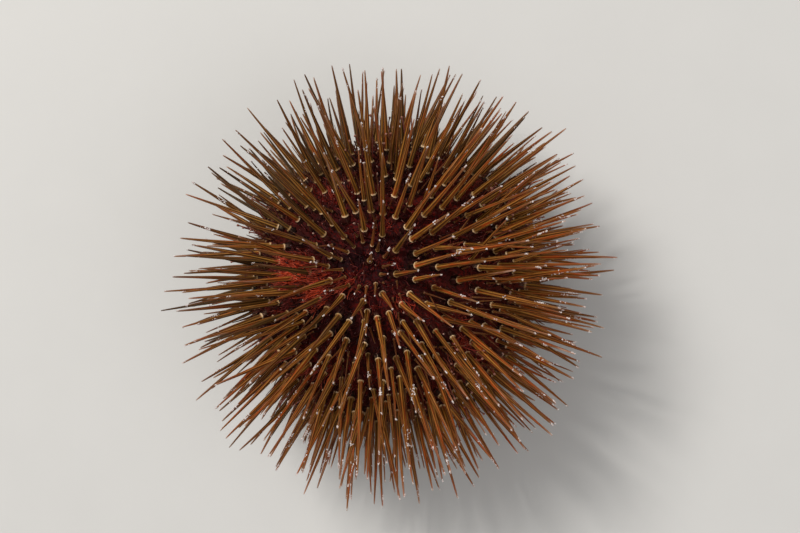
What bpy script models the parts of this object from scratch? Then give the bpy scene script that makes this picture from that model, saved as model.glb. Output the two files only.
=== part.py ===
"""Rock sea urchin at life size, as a still model: its test in ten sectors, the plates round the
vent, the mouth with its five teeth, and the spines, which grow from the sectors and the plates.

Metres, +Z up. The mouth faces down, and the spines under the test stand on z = 0.
"""

import math

import bmesh
import bpy
import numpy as np
from mathutils import Matrix, Vector

# The test: a flattened dome over a shallow, flat-bottomed base, widest at the ambitus.
TEST_RADIUS = 0.0280
AMBITUS_Z = 0.0195
DOME_HEIGHT = 0.0165
BASE_DEPTH = 0.0112
DOME_FULLNESS = 2.15
BASE_FULLNESS = 2.60
CUT_GAP = 0.0003

# Five ambulacra, which carry the tube feet, alternate with five wider interambulacra.
RAYS = 5
RAY_ANGLE = 2 * math.pi / RAYS
AMBULACRUM_ANGLE = math.radians(29)
INTERAMBULACRUM_ANGLE = RAY_ANGLE - AMBULACRUM_ANGLE
FIRST_RAY = math.radians(90)

# The apical disc, of five genital and five ocular plates, and the periproct with the vent.
APICAL_RADIUS = 0.0055
APICAL_DEPTH = 0.0024
PERIPROCT_RADIUS = 0.0021
PLATE_RELIEF = 0.0005
PLATE_BEVEL = 0.0002
MADREPORITE_RELIEF = 0.0003
VENT_RADIUS = 0.0004
VENT_DEPTH = 0.0006
PERIPROCT_DROP = 0.0006
PERIPROCT_RISE = 0.0004
SCALES = 8
SCALE_RISE = 0.0002

# Plates in plan: inner radius, outer radius, half width and how far the outer edge is drawn out.
GENITAL_PLATE = (PERIPROCT_RADIUS + 0.0003, 0.0047, math.radians(27), 0.0003)
OCULAR_PLATE = (0.0037, 0.0049, math.radians(8), 0.0001)
SCALE_PLATE = (VENT_RADIUS + 0.0002, PERIPROCT_RADIUS - 0.0007, math.radians(17), 0.0002)

# The soft peristome, with its lip, buccal tube feet and gills, and the teeth in its mouth.
PERISTOME_RADIUS = 0.0105
PERISTOME_DEPTH = 0.0042
MEMBRANE_SINK = 0.0009
MOUTH_RADIUS = 0.0034
LIP_WIDTH = 0.0009
LIP_DROP = 0.0007
LIP_SIDE_DROP = 0.0002
LIP_FOOT_DROP = 0.0003
FOOT_CIRCLE = 0.0060
FOOT_TURN = math.radians(10)
FOOT_RADIUS = 0.00042
FOOT_LENGTH = 0.0017
FOOT_LEAN = 0.2
FOOT_SUNK = 0.0008
DISC_LENGTH = 0.0004
DISC_OVERLAP = 0.0001
GILL_CIRCLE = 0.0088
GILL_TURN = math.radians(15)
GILL_SUNK = 0.0007
GILL_FINGER_RADIUS = 0.00034
GILL_LENGTH = 0.0017
# Leans of a gill's fingers, outwards and round the mouth.
GILL_FINGERS = ((0.25, 0.0), (-0.45, 0.0), (0.0, 0.5), (0.0, -0.5))

# The jaws' boss in rings of (share of its radius, height over the peristome's edge), and a tooth
# in rings of (radius from the axis, depth under the edge, width, half depth inwards).
BOSS_RINGS = ((1.0, PERISTOME_DEPTH - CUT_GAP), (1.0, 0.0008), (0.68, -0.0003))
TOOTH_RINGS = (
    (0.0016, -0.0012, 0.0011, 0.0011),
    (0.0013, 0.0008, 0.0010, 0.0010),
    (0.00045, 0.0026, 0.0004, 0.0004),
)
TOOTH_KEEL = 0.6

# Rows of spine roots run round the test, one above the other.
ROW_SPACING = 0.0038
ROOT_SPACING_DOME = 0.0042
ROOT_SPACING_BASE = 0.0055
ROOT_TO_EDGE = 0.0012
ROOT_SPACING_LEAST = 0.0022
ROOT_JITTER = 0.0004
GENITAL_ROOT_RADIUS = 0.0040
GENITAL_ROOT_TURN = math.radians(10.5)
OCULAR_ROOT_RADIUS = 0.0044
APICAL_SPINE_THICKNESS = 0.70
SEED = 12

# How spines stand, from the vent to the mouth: the root's angle down the outline, the spine's
# own angle from upright, both in degrees, and its usual length.
SPINE_STATIONS = (
    (0, 14, 0.0065),
    (9, 26, 0.0085),
    (14, 33, 0.0135),
    (25, 41, 0.0190),
    (45, 52, 0.0220),
    (60, 63, 0.0210),
    (90, 92, 0.0170),
    (135, 128, 0.0150),
    (180, 165, 0.0100),
)

# A spine tapers slowly from its root to its waist, and from there to its point.
SPINE_RADIUS = 0.00068
WAIST_SHARE = 0.60
WAIST_RADIUS = 0.00044
FOOT_FLAT_RADIUS = 0.00028
ROOT_SINK = 0.0014
SPINE_SIDES = 5
SPINE_SPREAD = 0.10
LENGTH_RANGE = (0.80, 1.05)
THICKNESS_RANGE = (0.85, 1.05)
SPINE_CLEARANCE = 0.00042
FLOOR_CLEARANCE = 0.0006
STEEPEST_FOOT_SLANT = 0.5

# How the spines are pushed apart, a little at a time.
PUSH_ROUNDS = 300
PUSH_SHARE = 0.4
PUSH_LEAST = 2e-5
PUSH_ARM_LEAST = 0.003

# The live animal holds its spines a little to one side, where they are also a little longer.
SWAY = 0.13
LENGTH_SWAY = 0.09
SWAY_TURN = math.radians(-34)

WHOLE_TURN_STEPS = 50
SMALL_TURN_STEPS = 30
PROFILE_STEPS = 9


def material(name, colour, roughness):
    made = bpy.data.materials.new(name)
    made.use_nodes = True
    shader = made.node_tree.nodes["Principled BSDF"]
    shader.inputs["Base Color"].default_value = (*colour, 1.0)
    shader.inputs["Roughness"].default_value = roughness
    shader.inputs["Metallic"].default_value = 0.0
    return made


def add_object(name, points, faces, look=None):
    """A closed mesh object from points and faces, its normals turned outwards."""
    mesh = bpy.data.meshes.new(name)
    mesh.from_pydata([tuple(p) for p in points], [], faces)
    shape = bmesh.new()
    shape.from_mesh(mesh)
    bmesh.ops.recalc_face_normals(shape, faces=shape.faces)
    shape.to_mesh(mesh)
    shape.free()
    if look:
        mesh.materials.append(look)
    made = bpy.data.objects.new(name, mesh)
    bpy.context.scene.collection.objects.link(made)
    return made


def lathe(name, profile, look=None, steps=WHOLE_TURN_STEPS):
    """Turns an outline of (radius, z) points about Z, from the axis to the axis or as a ring."""
    points = []
    rings = []
    for radius, z in profile:
        if radius < 1e-9:
            rings.append([len(points)])
            points.append((0.0, 0.0, z))
            continue
        rings.append(range(len(points), len(points) + steps))
        for k in range(steps):
            turn = 2 * math.pi * k / steps
            points.append((radius * math.cos(turn), radius * math.sin(turn), z))
    if len(rings[0]) > 1:
        rings.append(rings[0])
    faces = []
    for first, second in zip(rings, rings[1:]):
        for k in range(steps):
            after = (k + 1) % steps
            if len(first) == 1:
                faces.append((first[0], second[k], second[after]))
            elif len(second) == 1:
                faces.append((first[k], second[0], first[after]))
            else:
                faces.append((first[k], second[k], second[after], first[after]))
    return add_object(name, points, faces, look)


def apply_modifiers(obj):
    graph = bpy.context.evaluated_depsgraph_get()
    mesh = bpy.data.meshes.new_from_object(obj.evaluated_get(graph))
    obj.modifiers.clear()
    obj.data = mesh


def keep_largest_surface(obj):
    """Deletes every closed surface of the mesh but the one with most points."""
    shape = bmesh.new()
    shape.from_mesh(obj.data)
    left = set(shape.verts)
    surfaces = []
    while left:
        found = [left.pop()]
        for vertex in found:
            for edge in vertex.link_edges:
                other = edge.other_vert(vertex)
                if other in left:
                    left.remove(other)
                    found.append(other)
        surfaces.append(found)
    surfaces.sort(key=len)
    for scrap in surfaces[:-1]:
        bmesh.ops.delete(shape, geom=scrap, context="VERTS")
    shape.to_mesh(obj.data)
    shape.free()


def join(body, pieces):
    """Fuses closed pieces into body with one Boolean union, and removes them."""
    group = bpy.data.collections.new(body.name + " pieces")
    bpy.context.scene.collection.children.link(group)
    for piece in pieces:
        bpy.context.scene.collection.objects.unlink(piece)
        group.objects.link(piece)
    union = body.modifiers.new("Union", "BOOLEAN")
    union.operation = "UNION"
    union.operand_type = "COLLECTION"
    union.collection = group
    union.solver = "EXACT"
    apply_modifiers(body)
    for piece in pieces:
        bpy.data.objects.remove(piece)
    bpy.data.collections.remove(group)
    keep_largest_surface(body)


def keep_inside(body, cutter):
    """Cuts body down to what lies inside cutter, and removes the cutter."""
    cut = body.modifiers.new("Cut", "BOOLEAN")
    cut.operation = "INTERSECT"
    cut.object = cutter
    cut.solver = "EXACT"
    apply_modifiers(body)
    bpy.data.objects.remove(cutter)


def on_circle(radius, turn, z):
    return Vector((radius * math.cos(turn), radius * math.sin(turn), z))


def test_point(angle):
    """(radius, z) on the test's outline. The angle is 0 at the vent and pi at the mouth."""
    upper = math.cos(angle) >= 0
    power = 2 / (DOME_FULLNESS if upper else BASE_FULLNESS)
    height = DOME_HEIGHT if upper else -BASE_DEPTH
    radius = TEST_RADIUS * math.sin(angle) ** power
    return radius, AMBITUS_Z + height * abs(math.cos(angle)) ** power


def test_angle(radius, upper):
    """The angle at which the outline has this radius, above or below the ambitus."""
    power = 2 / (DOME_FULLNESS if upper else BASE_FULLNESS)
    angle = math.asin((radius / TEST_RADIUS) ** (1 / power))
    return angle if upper else math.pi - angle


def rim_z():
    """The height of the edge that the apical disc is set in."""
    return test_point(test_angle(APICAL_RADIUS, True))[1]


def mouth_z():
    """The height of the edge that the peristome is set in."""
    return test_point(test_angle(PERISTOME_RADIUS, False))[1]


def test_outline():
    """The whole test's outline, with a round seat for the apical disc and one for the mouth."""
    first = test_angle(APICAL_RADIUS, True)
    last = test_angle(PERISTOME_RADIUS, False)
    upper = [test_point(a) for a in np.linspace(first, math.pi / 2, PROFILE_STEPS)]
    lower = [test_point(a) for a in np.linspace(math.pi / 2, last, PROFILE_STEPS)]
    seat = rim_z() - APICAL_DEPTH
    ceiling = mouth_z() + PERISTOME_DEPTH
    return (
        [(0, seat), (APICAL_RADIUS, seat)]
        + upper
        + lower[1:]
        + [(PERISTOME_RADIUS, ceiling), (0, ceiling)]
    )


def wedge(middle, width):
    """A tall prism between two upright planes that meet near the axis, half a gap in from both."""
    reach = 4 * TEST_RADIUS
    half = width / 2
    tip = CUT_GAP / 2 / math.sin(half)
    corners = [(tip, 0.0)]
    for k in range(5):
        turn = half * (k / 2 - 1)
        corners.append((tip + reach * math.cos(turn), reach * math.sin(turn)))
    turned = Matrix.Rotation(middle, 3, "Z")
    points = [turned @ Vector((x, y, z)) for z in (-reach, reach) for x, y in corners]
    count = len(corners)
    faces = [tuple(range(count)), tuple(range(count, 2 * count))]
    for k in range(count):
        after = (k + 1) % count
        faces.append((k, after, count + after, count + k))
    return add_object("wedge", points, faces)


def rays():
    """(number, middle of the ambulacrum, middle of the interambulacrum) of each ray."""
    for ray in range(RAYS):
        middle = FIRST_RAY + RAY_ANGLE * ray
        yield ray + 1, middle, middle + RAY_ANGLE / 2


def sectors():
    """(name, middle, width) of the ten sectors of the test, in turn."""
    for number, middle, between in rays():
        yield f"ambulacrum_{number}", middle, AMBULACRUM_ANGLE
        yield f"interambulacrum_{number}", between, INTERAMBULACRUM_ANGLE


def station(angle):
    """A spine's usual angle from upright and its usual length, from its root's angle."""
    roots, tilts, lengths = zip(*SPINE_STATIONS)
    here = math.degrees(angle)
    return math.radians(np.interp(here, roots, tilts)), float(np.interp(here, roots, lengths))


def new_spine(rng, sector, root, angle, turn, thickness=1.0):
    """One spine's sector, root, direction, usual length and thickness, with some variation."""
    tilt, length = station(angle)
    along = np.array(on_circle(math.sin(tilt), turn, math.cos(tilt)))
    along += SWAY * np.array(on_circle(1.0, SWAY_TURN, 0.0))
    along += rng.normal(0, SPINE_SPREAD, 3)
    length *= 1 + LENGTH_SWAY * math.sin(tilt) * math.cos(turn - SWAY_TURN)
    return {
        "sector": sector,
        "root": np.array(root),
        "along": along / np.linalg.norm(along),
        "length": length * rng.uniform(*LENGTH_RANGE),
        "thick": thickness * rng.uniform(*THICKNESS_RANGE),
    }


def row_angles():
    """The outline's angle at each row of roots, evenly spaced along the test."""
    first = test_angle(APICAL_RADIUS + ROOT_TO_EDGE, True)
    last = test_angle(PERISTOME_RADIUS + ROOT_TO_EDGE, False)
    angles = np.linspace(first, last, 400)
    places = np.array([test_point(a) for a in angles])
    steps = np.linalg.norm(np.diff(places, axis=0), axis=1)
    along = np.concatenate([[0], np.cumsum(steps)])
    rows = round(along[-1] / ROW_SPACING) + 1
    return np.interp(np.linspace(0, along[-1], rows), along, angles)


def places_across(half, spacing, odd):
    """Where the roots of one row stand across a sector, staggered from the rows beside it."""
    count = max(1, round(2 * half / spacing))
    room = half - ROOT_TO_EDGE
    if not odd or 2 * room < ROOT_SPACING_LEAST:
        return [half * ((2 * k + 1) / count - 1) for k in range(count)]
    return [min(max(half * (2 * k / count - 1), -room), room) for k in range(count + 1)]


def sector_spines(rng):
    """Spines in rows on the sectors, from the apical disc down to the mouth."""
    angles = row_angles()
    spines = []
    for row, angle in enumerate(angles):
        radius, _ = test_point(angle)
        spacing = ROOT_SPACING_DOME if angle < math.pi / 2 else ROOT_SPACING_BASE
        shift = 0 if row in (0, len(angles) - 1) else ROOT_JITTER / TEST_RADIUS
        for name, middle, width in sectors():
            half = radius * math.sin(width / 2)
            for across in places_across(half, spacing, row % 2 == 1):
                if abs(across) < half - ROOT_TO_EDGE - ROOT_JITTER:
                    across += rng.uniform(-ROOT_JITTER, ROOT_JITTER)
                here = angle + rng.uniform(-shift, shift)
                turn = middle + math.asin(across / radius)
                root_radius, root_z = test_point(here)
                spines.append(new_spine(rng, name, on_circle(root_radius, turn, root_z), here, turn))
    return spines


def apical_spines(rng):
    """Short spines on the apical disc: two on each genital plate and one on each ocular plate."""
    places = []
    for _, ocular, genital in rays():
        places.append((OCULAR_ROOT_RADIUS, ocular))
        places.append((GENITAL_ROOT_RADIUS, genital - GENITAL_ROOT_TURN))
        places.append((GENITAL_ROOT_RADIUS, genital + GENITAL_ROOT_TURN))
    spines = []
    for radius, turn in places:
        root = on_circle(radius, turn, rim_z())
        angle = test_angle(radius, True)
        spines.append(new_spine(rng, "apical_disc", root, angle, turn, APICAL_SPINE_THICKNESS))
    return spines


def nearest(first, one, second, two):
    """How far along first + s * one and second + t * two the two segments are nearest."""
    between = first - second
    a = (one * one).sum(1)
    b = (one * two).sum(1)
    c = (one * between).sum(1)
    e = (two * two).sum(1)
    f = (two * between).sum(1)
    s = np.clip((b * f - c * e) / np.maximum(a * e - b * b, 1e-15), 0, 1)
    t = np.clip((b * s + f) / e, 0, 1)
    s = np.clip((b * t - c) / a, 0, 1)
    return s, t


def thickness(share):
    """A spine's radius at a share of its usual length, for one of usual thickness."""
    stem = SPINE_RADIUS + (WAIST_RADIUS - SPINE_RADIUS) * share / WAIST_SHARE
    point = WAIST_RADIUS * (1 - share) / (1 - WAIST_SHARE)
    return np.minimum(stem, point)


def lengths_to_floor(roots, along, usual):
    """Lengths that end the spines at the floor, and which of them stand on it."""
    to_floor = roots[:, 2] / np.maximum(-along[:, 2], 1e-9)
    stands = (to_floor < usual) & (along[:, 2] < -STEEPEST_FOOT_SLANT)
    return np.where(stands, to_floor, usual), stands


def lift_from_floor(roots, along, usual, stands):
    """Turns up the spines that would reach the floor at too flat a slant to stand on it."""
    lowest = (FLOOR_CLEARANCE - roots[:, 2]) / usual
    low = ~stands & (along[:, 2] < lowest)
    along[low, 2] = lowest[low]
    return along / np.linalg.norm(along, axis=1)[:, None]


def spread_apart(spines):
    """Turns the spines about their roots until none comes near another."""
    roots = np.array([s["root"] for s in spines])
    along = np.array([s["along"] for s in spines])
    usual = np.array([s["length"] for s in spines])
    thick = np.array([s["thick"] for s in spines])
    for _ in range(PUSH_ROUNDS):
        length, stands = lengths_to_floor(roots, along, usual)
        along = lift_from_floor(roots, along, usual, stands)
        middle = roots + along * length[:, None] / 2
        far = np.linalg.norm(middle[:, None] - middle[None], axis=2)
        near = far < (length[:, None] + length[None]) / 2 + 4 * SPINE_RADIUS
        i, j = np.nonzero(np.triu(near, 1))
        one = along[i] * length[i, None]
        two = along[j] * length[j, None]
        s, t = nearest(roots[i], one, roots[j], two)
        apart = roots[i] + one * s[:, None] - roots[j] - two * t[:, None]
        gap = np.linalg.norm(apart, axis=1)
        wide_i = thickness(s * length[i] / usual[i]) * thick[i]
        wide_j = thickness(t * length[j] / usual[j]) * thick[j]
        short = wide_i + wide_j + SPINE_CLEARANCE - gap
        close = short > 0
        if not close.any():
            break
        i, j, s, t = i[close], j[close], s[close], t[close]
        step = (PUSH_SHARE * short[close] + PUSH_LEAST) / np.maximum(gap[close], 1e-9)
        push = apart[close] * step[:, None]
        np.add.at(along, i, push / np.maximum(s * length[i], PUSH_ARM_LEAST)[:, None])
        np.add.at(along, j, -push / np.maximum(t * length[j], PUSH_ARM_LEAST)[:, None])
        along /= np.linalg.norm(along, axis=1)[:, None]
    print(len(spines), "spines,", int(close.sum()), "pairs still close")
    for k, spine in enumerate(spines):
        spine.update(along=along[k], reach=length[k], stands=bool(stands[k]))


def ring_about(centre, along, radius, sides):
    """A regular ring of points about a centre, square to a direction."""
    side = Vector(along).orthogonal().normalized()
    other = Vector(along).cross(side).normalized()
    turns = [2 * math.pi * k / sides for k in range(sides)]
    return [Vector(centre) + radius * (side * math.cos(t) + other * math.sin(t)) for t in turns]


def tube(name, rings, point=None):
    """A closed tube through rings of equally many points, its far end a flat or one point."""
    sides = len(rings[0])
    points = [p for ring in rings for p in ring]
    faces = [tuple(range(sides))]
    for low in range(0, len(points) - sides, sides):
        for k in range(sides):
            after = (k + 1) % sides
            faces.append((low + k, low + after, low + sides + after, low + sides + k))
    last = len(points) - sides
    if point is None:
        faces.append(tuple(range(last, last + sides)))
    else:
        faces += [(last + k, last + (k + 1) % sides, last + sides) for k in range(sides)]
        points.append(point)
    return add_object(name, points, faces)


def flat_on_floor(foot, end):
    """Slides each point of an end ring along its own side of the spine to z = 0."""
    moved = []
    for start, stop in zip(foot, end):
        point = start.lerp(stop, start.z / (start.z - stop.z))
        moved.append(Vector((point.x, point.y, 0.0)))
    return moved


def spine_object(spine):
    """A tapered spine with its root sunk in, ending in a point or in a small flat on the floor."""
    root = Vector(spine["root"])
    along = Vector(spine["along"])
    tip = root + along * spine["reach"]
    foot = ring_about(root - along * ROOT_SINK, along, SPINE_RADIUS * spine["thick"], SPINE_SIDES)
    if spine["stands"]:
        share = spine["reach"] / spine["length"]
        end_radius = max(float(thickness(share)) * spine["thick"], FOOT_FLAT_RADIUS)
        end = ring_about(tip, along, end_radius, SPINE_SIDES)
        return tube("spine", [foot, flat_on_floor(foot, end)])
    waist = ring_about(
        root + along * spine["reach"] * WAIST_SHARE,
        along,
        WAIST_RADIUS * spine["thick"],
        SPINE_SIDES,
    )
    return tube("spine", [foot, waist], tip)


def build_sectors(spines, looks):
    """Ten sectors of the test, cut from one turned body, each with its spines fused on."""
    outline = test_outline()
    for name, middle, width in sectors():
        body = lathe(name, outline, looks[name.split("_")[0]])
        keep_inside(body, wedge(middle, width))
        join(body, [spine_object(s) for s in spines if s["sector"] == name])


def bevelled_plate(outline, low, high):
    """A plate over an outline of (x, y) points, its upper edge bevelled."""
    centre = sum(outline, Vector((0, 0))) / len(outline)
    inner = [corner + (centre - corner).normalized() * 1.5 * PLATE_BEVEL for corner in outline]
    rings = [
        [Vector((x, y, low)) for x, y in outline],
        [Vector((x, y, high - PLATE_BEVEL)) for x, y in outline],
        [Vector((x, y, high)) for x, y in inner],
    ]
    return tube("plate", rings)


def plate_outline(middle, inner, outer, half_width, peak):
    """A wedge-shaped plate's corners, with its outer edge drawn out to a blunt peak."""
    corners = [(inner, -1.0), (outer, -0.92), (outer + peak, 0.0), (outer, 0.92), (inner, 1.0)]
    return [on_circle(radius, middle + half_width * share, 0).xy for radius, share in corners]


def build_apical_disc(spines, look):
    """A ring round the periproct with five genital plates, one swollen, and five ocular plates."""
    top = rim_z() + PLATE_RELIEF - APICAL_DEPTH / 4
    low = rim_z() - APICAL_DEPTH + CUT_GAP
    floor = top - PLATE_RELIEF
    outer = APICAL_RADIUS - CUT_GAP
    profile = [(PERIPROCT_RADIUS, floor), (outer, floor), (outer, low), (PERIPROCT_RADIUS, low)]
    body = lathe("apical_disc", profile, look, SMALL_TURN_STEPS)
    middle = (low + floor) / 2
    pieces = [spine_object(s) for s in spines if s["sector"] == body.name]
    for number, ocular, genital in rays():
        swell = MADREPORITE_RELIEF if number == 1 else 0
        pieces.append(bevelled_plate(plate_outline(genital, *GENITAL_PLATE), middle, top + swell))
        pieces.append(bevelled_plate(plate_outline(ocular, *OCULAR_PLATE), middle, top))
    join(body, pieces)


def build_periproct(look):
    """A low round cushion of scales that slope up to the vent in their middle."""
    outer = PERIPROCT_RADIUS - CUT_GAP
    low = rim_z() - APICAL_DEPTH + CUT_GAP
    edge = rim_z() - PERIPROCT_DROP
    crown = edge + PERIPROCT_RISE
    profile = [
        (0, crown - VENT_DEPTH),
        (VENT_RADIUS, crown),
        (outer, edge),
        (outer, low),
        (0, low),
    ]
    body = lathe("periproct", profile, look, SMALL_TURN_STEPS)
    pieces = []
    for k in range(SCALES):
        outline = plate_outline(2 * math.pi * k / SCALES, *SCALE_PLATE)
        pieces.append(bevelled_plate(outline, (low + edge) / 2, crown + SCALE_RISE))
    join(body, pieces)


def peg(base, along, length, radius, end_radius, sides):
    """A straight peg of a few sides, wider or narrower at its end."""
    along = Vector(along).normalized()
    start = ring_about(base, along, radius, sides)
    stop = ring_about(Vector(base) + along * length, along, end_radius, sides)
    return tube("peg", [start, stop])


def buccal_foot(turn, surface):
    """A short tube foot beside the mouth, ending in a sucking disc."""
    base = on_circle(FOOT_CIRCLE, turn, surface + FOOT_SUNK)
    down = Vector((0, 0, -1)) + on_circle(FOOT_LEAN, turn, 0)
    end = base + down.normalized() * FOOT_LENGTH
    stem = peg(base, down, FOOT_LENGTH + DISC_OVERLAP, FOOT_RADIUS, FOOT_RADIUS * 0.8, 6)
    disc = peg(end, down, DISC_LENGTH, FOOT_RADIUS * 1.3, FOOT_RADIUS * 1.6, 6)
    return [stem, disc]


def gill(turn, surface):
    """A bushy gill at the edge of the peristome: four fingers that fan out of one stalk."""
    base = on_circle(GILL_CIRCLE, turn, surface + GILL_SUNK)
    fingers = []
    for lean_out, lean_round in GILL_FINGERS:
        aside = on_circle(lean_out, turn, 0) + on_circle(lean_round, turn + math.pi / 2, 0)
        down = Vector((0, 0, -1)) + aside
        fingers.append(peg(base, down, GILL_LENGTH, GILL_FINGER_RADIUS, GILL_FINGER_RADIUS * 0.7, 4))
    return fingers


def build_peristome(look):
    """The soft disc round the mouth, with a swollen lip, ten tube feet and ten gills."""
    edge = mouth_z()
    ceiling = edge + PERISTOME_DEPTH - CUT_GAP
    surface = edge + MEMBRANE_SINK
    outer = PERISTOME_RADIUS - CUT_GAP
    profile = [
        (MOUTH_RADIUS, ceiling),
        (MOUTH_RADIUS, edge - LIP_SIDE_DROP),
        (MOUTH_RADIUS + LIP_WIDTH / 2, edge - LIP_DROP),
        (MOUTH_RADIUS + LIP_WIDTH, edge - LIP_SIDE_DROP),
        (MOUTH_RADIUS + 1.8 * LIP_WIDTH, surface - LIP_FOOT_DROP),
        (outer, surface),
        (outer, ceiling),
    ]
    body = lathe("peristome", profile, look)
    pieces = []
    for _, ambulacral, interambulacral in rays():
        for side in (-1, 1):
            pieces += buccal_foot(ambulacral + side * FOOT_TURN, surface)
            pieces += gill(interambulacral + side * GILL_TURN, surface)
    join(body, pieces)


def tooth(turn, edge):
    """One of five teeth: a narrow chisel that leans in, so that all five meet in the middle."""
    rings = []
    for radius, depth, width, inwards in TOOTH_RINGS:
        side = on_circle(width / 2, turn + math.pi / 2, 0)
        inner = on_circle(radius - inwards, turn, edge - depth)
        outer = on_circle(radius + inwards * TOOTH_KEEL, turn, edge - depth)
        rings.append([inner - side, outer - side / 2, outer + side / 2, inner + side])
    return tube("tooth", rings)


def build_lantern_teeth(look):
    """The tip of the jaws: a five-sided boss in the mouth, with five teeth that point down."""
    edge = mouth_z()
    outer = MOUTH_RADIUS - CUT_GAP
    rings = []
    for share, height in BOSS_RINGS:
        rings.append([on_circle(outer * share, middle, edge + height) for _, middle, _ in rays()])
    body = tube("lantern_teeth", rings)
    body.data.materials.append(look)
    join(body, [tooth(between, edge) for _, _, between in rays()])


def centre_over_origin(spines):
    """Moves every object so that the tips reach as far to each side of the origin."""
    tips = np.array([s["root"] + s["along"] * s["reach"] for s in spines])
    middle = (tips.min(axis=0) + tips.max(axis=0)) / 2
    for obj in bpy.data.objects:
        obj.location = (-middle[0], -middle[1], 0)


def main():
    for old in list(bpy.data.objects):
        bpy.data.objects.remove(old)
    looks = {
        "ambulacrum": material("ambulacrum", (0.30, 0.14, 0.04), 0.50),
        "interambulacrum": material("interambulacrum", (0.34, 0.17, 0.05), 0.50),
        "plates": material("plates", (0.10, 0.02, 0.02), 0.60),
        "membrane": material("membrane", (0.22, 0.08, 0.06), 0.55),
        "teeth": material("teeth", (0.85, 0.82, 0.74), 0.30),
    }
    rng = np.random.default_rng(SEED)
    spines = sector_spines(rng) + apical_spines(rng)
    spread_apart(spines)
    build_sectors(spines, looks)
    build_apical_disc(spines, looks["plates"])
    build_periproct(looks["plates"])
    build_peristome(looks["membrane"])
    build_lantern_teeth(looks["teeth"])
    centre_over_origin(spines)


main()
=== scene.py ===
"""Looks of the rock sea urchin: skin, plates, spines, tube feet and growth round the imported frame.

Metres, +Z up. Shapes are made about the animal's own axis and then moved to where the frame has it.
The long spines come from the same rows, seed and sizes as the solids, so they stand in their places.
"""

import functools
import math

import bpy
import numpy as np
from mathutils import Matrix, Vector

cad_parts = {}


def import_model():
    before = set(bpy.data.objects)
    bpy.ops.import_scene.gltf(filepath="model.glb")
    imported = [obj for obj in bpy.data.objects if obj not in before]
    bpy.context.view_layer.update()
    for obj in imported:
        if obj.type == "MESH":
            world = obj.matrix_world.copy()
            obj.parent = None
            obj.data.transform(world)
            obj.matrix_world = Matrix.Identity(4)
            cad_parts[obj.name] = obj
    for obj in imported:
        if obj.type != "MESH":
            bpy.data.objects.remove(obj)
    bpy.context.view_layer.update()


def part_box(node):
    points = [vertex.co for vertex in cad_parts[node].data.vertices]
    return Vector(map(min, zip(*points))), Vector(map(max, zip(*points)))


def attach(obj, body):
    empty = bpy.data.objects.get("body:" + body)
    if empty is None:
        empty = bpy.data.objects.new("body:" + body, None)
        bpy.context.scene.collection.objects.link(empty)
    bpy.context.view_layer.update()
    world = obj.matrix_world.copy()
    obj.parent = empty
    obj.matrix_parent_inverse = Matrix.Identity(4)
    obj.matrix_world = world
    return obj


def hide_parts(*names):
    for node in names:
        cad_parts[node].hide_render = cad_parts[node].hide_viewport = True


# The test's outline, as in the solids.
TEST_RADIUS = 0.0280
AMBITUS_Z = 0.0195
DOME_HEIGHT = 0.0165
BASE_DEPTH = 0.0112
DOME_FULLNESS = 2.15
BASE_FULLNESS = 2.60
CUT_GAP = 0.0003
RAYS = 5
RAY_ANGLE = 2 * math.pi / RAYS
AMBULACRUM_ANGLE = math.radians(29)
FIRST_RAY = math.radians(90)
APICAL_RADIUS = 0.0055
APICAL_DEPTH = 0.0024
PERIPROCT_RADIUS = 0.0021
PERISTOME_RADIUS = 0.0105
PERISTOME_DEPTH = 0.0042
MEMBRANE_SINK = 0.0009

# The rows of long spines, as in the solids. A station is a root's angle from the vent, the spine's
# usual angle from upright, and its usual length.
ROW_SAMPLES = 400
ROW_SPACING = 0.0038
ROOT_SPACING_DOME = 0.0042
ROOT_SPACING_BASE = 0.0055
ROOT_TO_EDGE = 0.0012
ROOT_SPACING_LEAST = 0.0022
ROOT_JITTER = 0.0004
GENITAL_ROOT_RADIUS = 0.0040
GENITAL_ROOT_TURN = math.radians(10.5)
OCULAR_ROOT_RADIUS = 0.0044
APICAL_SPINE_THICKNESS = 0.70
SEED = 12
SPINE_STATIONS = (
    (0, 14, 0.0065),
    (9, 26, 0.0085),
    (14, 33, 0.0135),
    (25, 41, 0.0190),
    (45, 52, 0.0220),
    (60, 63, 0.0210),
    (90, 92, 0.0170),
    (135, 128, 0.0150),
    (180, 165, 0.0100),
)
SPINE_RADIUS = 0.00068
WAIST_SHARE = 0.60
WAIST_RADIUS = 0.00044
SPINE_SPREAD = 0.10
LENGTH_RANGE = (0.80, 1.05)
THICKNESS_RANGE = (0.85, 1.05)
SPINE_CLEARANCE = 0.00042
FLOOR_CLEARANCE = 0.0006
STEEPEST_FOOT_SLANT = 0.5
PUSH_ROUNDS = 300
PUSH_SHARE = 0.4
PUSH_LEAST = 2e-5
PUSH_ARM_LEAST = 0.003
SWAY = 0.13
LENGTH_SWAY = 0.09
SWAY_TURN = math.radians(-34)

# Further spines between the long ones: how many are tried, how near they come to each other and
# to the spines that are there, their sizes as shares of a long spine's, and how many rounds they
# are pushed apart for. A step of 2 leaves out every second ring.
SECOND_SPINES = {
    "name": "second_spines",
    "count": 420,
    "apart": 0.0019,
    "clear": (0.0019,),
    "length": (0.62, 0.95),
    "thick": (0.66, 0.86),
    "stray": 0.08,
    "rounds": 260,
    "clearance": SPINE_CLEARANCE,
    "sides": 12,
    "step": 1,
}
SHORT_SPINES = {
    "name": "short_spines",
    "count": 1000,
    "apart": 0.0011,
    "clear": (0.00135, 0.0012),
    "length": (0.20, 0.45),
    "thick": (0.30, 0.46),
    "stray": 0.16,
    "rounds": 40,
    "clearance": 0.00016,
    "sides": 8,
    "step": 2,
}
FURTHER_SPINES = (SECOND_SPINES, SHORT_SPINES)
AREA_SAMPLES = 600
TRIES_EACH = 60
COVER_LEAST = 0.45
COVER_ANGLES = (25, 75)
BARE_RADIUS = 0.0010
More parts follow.
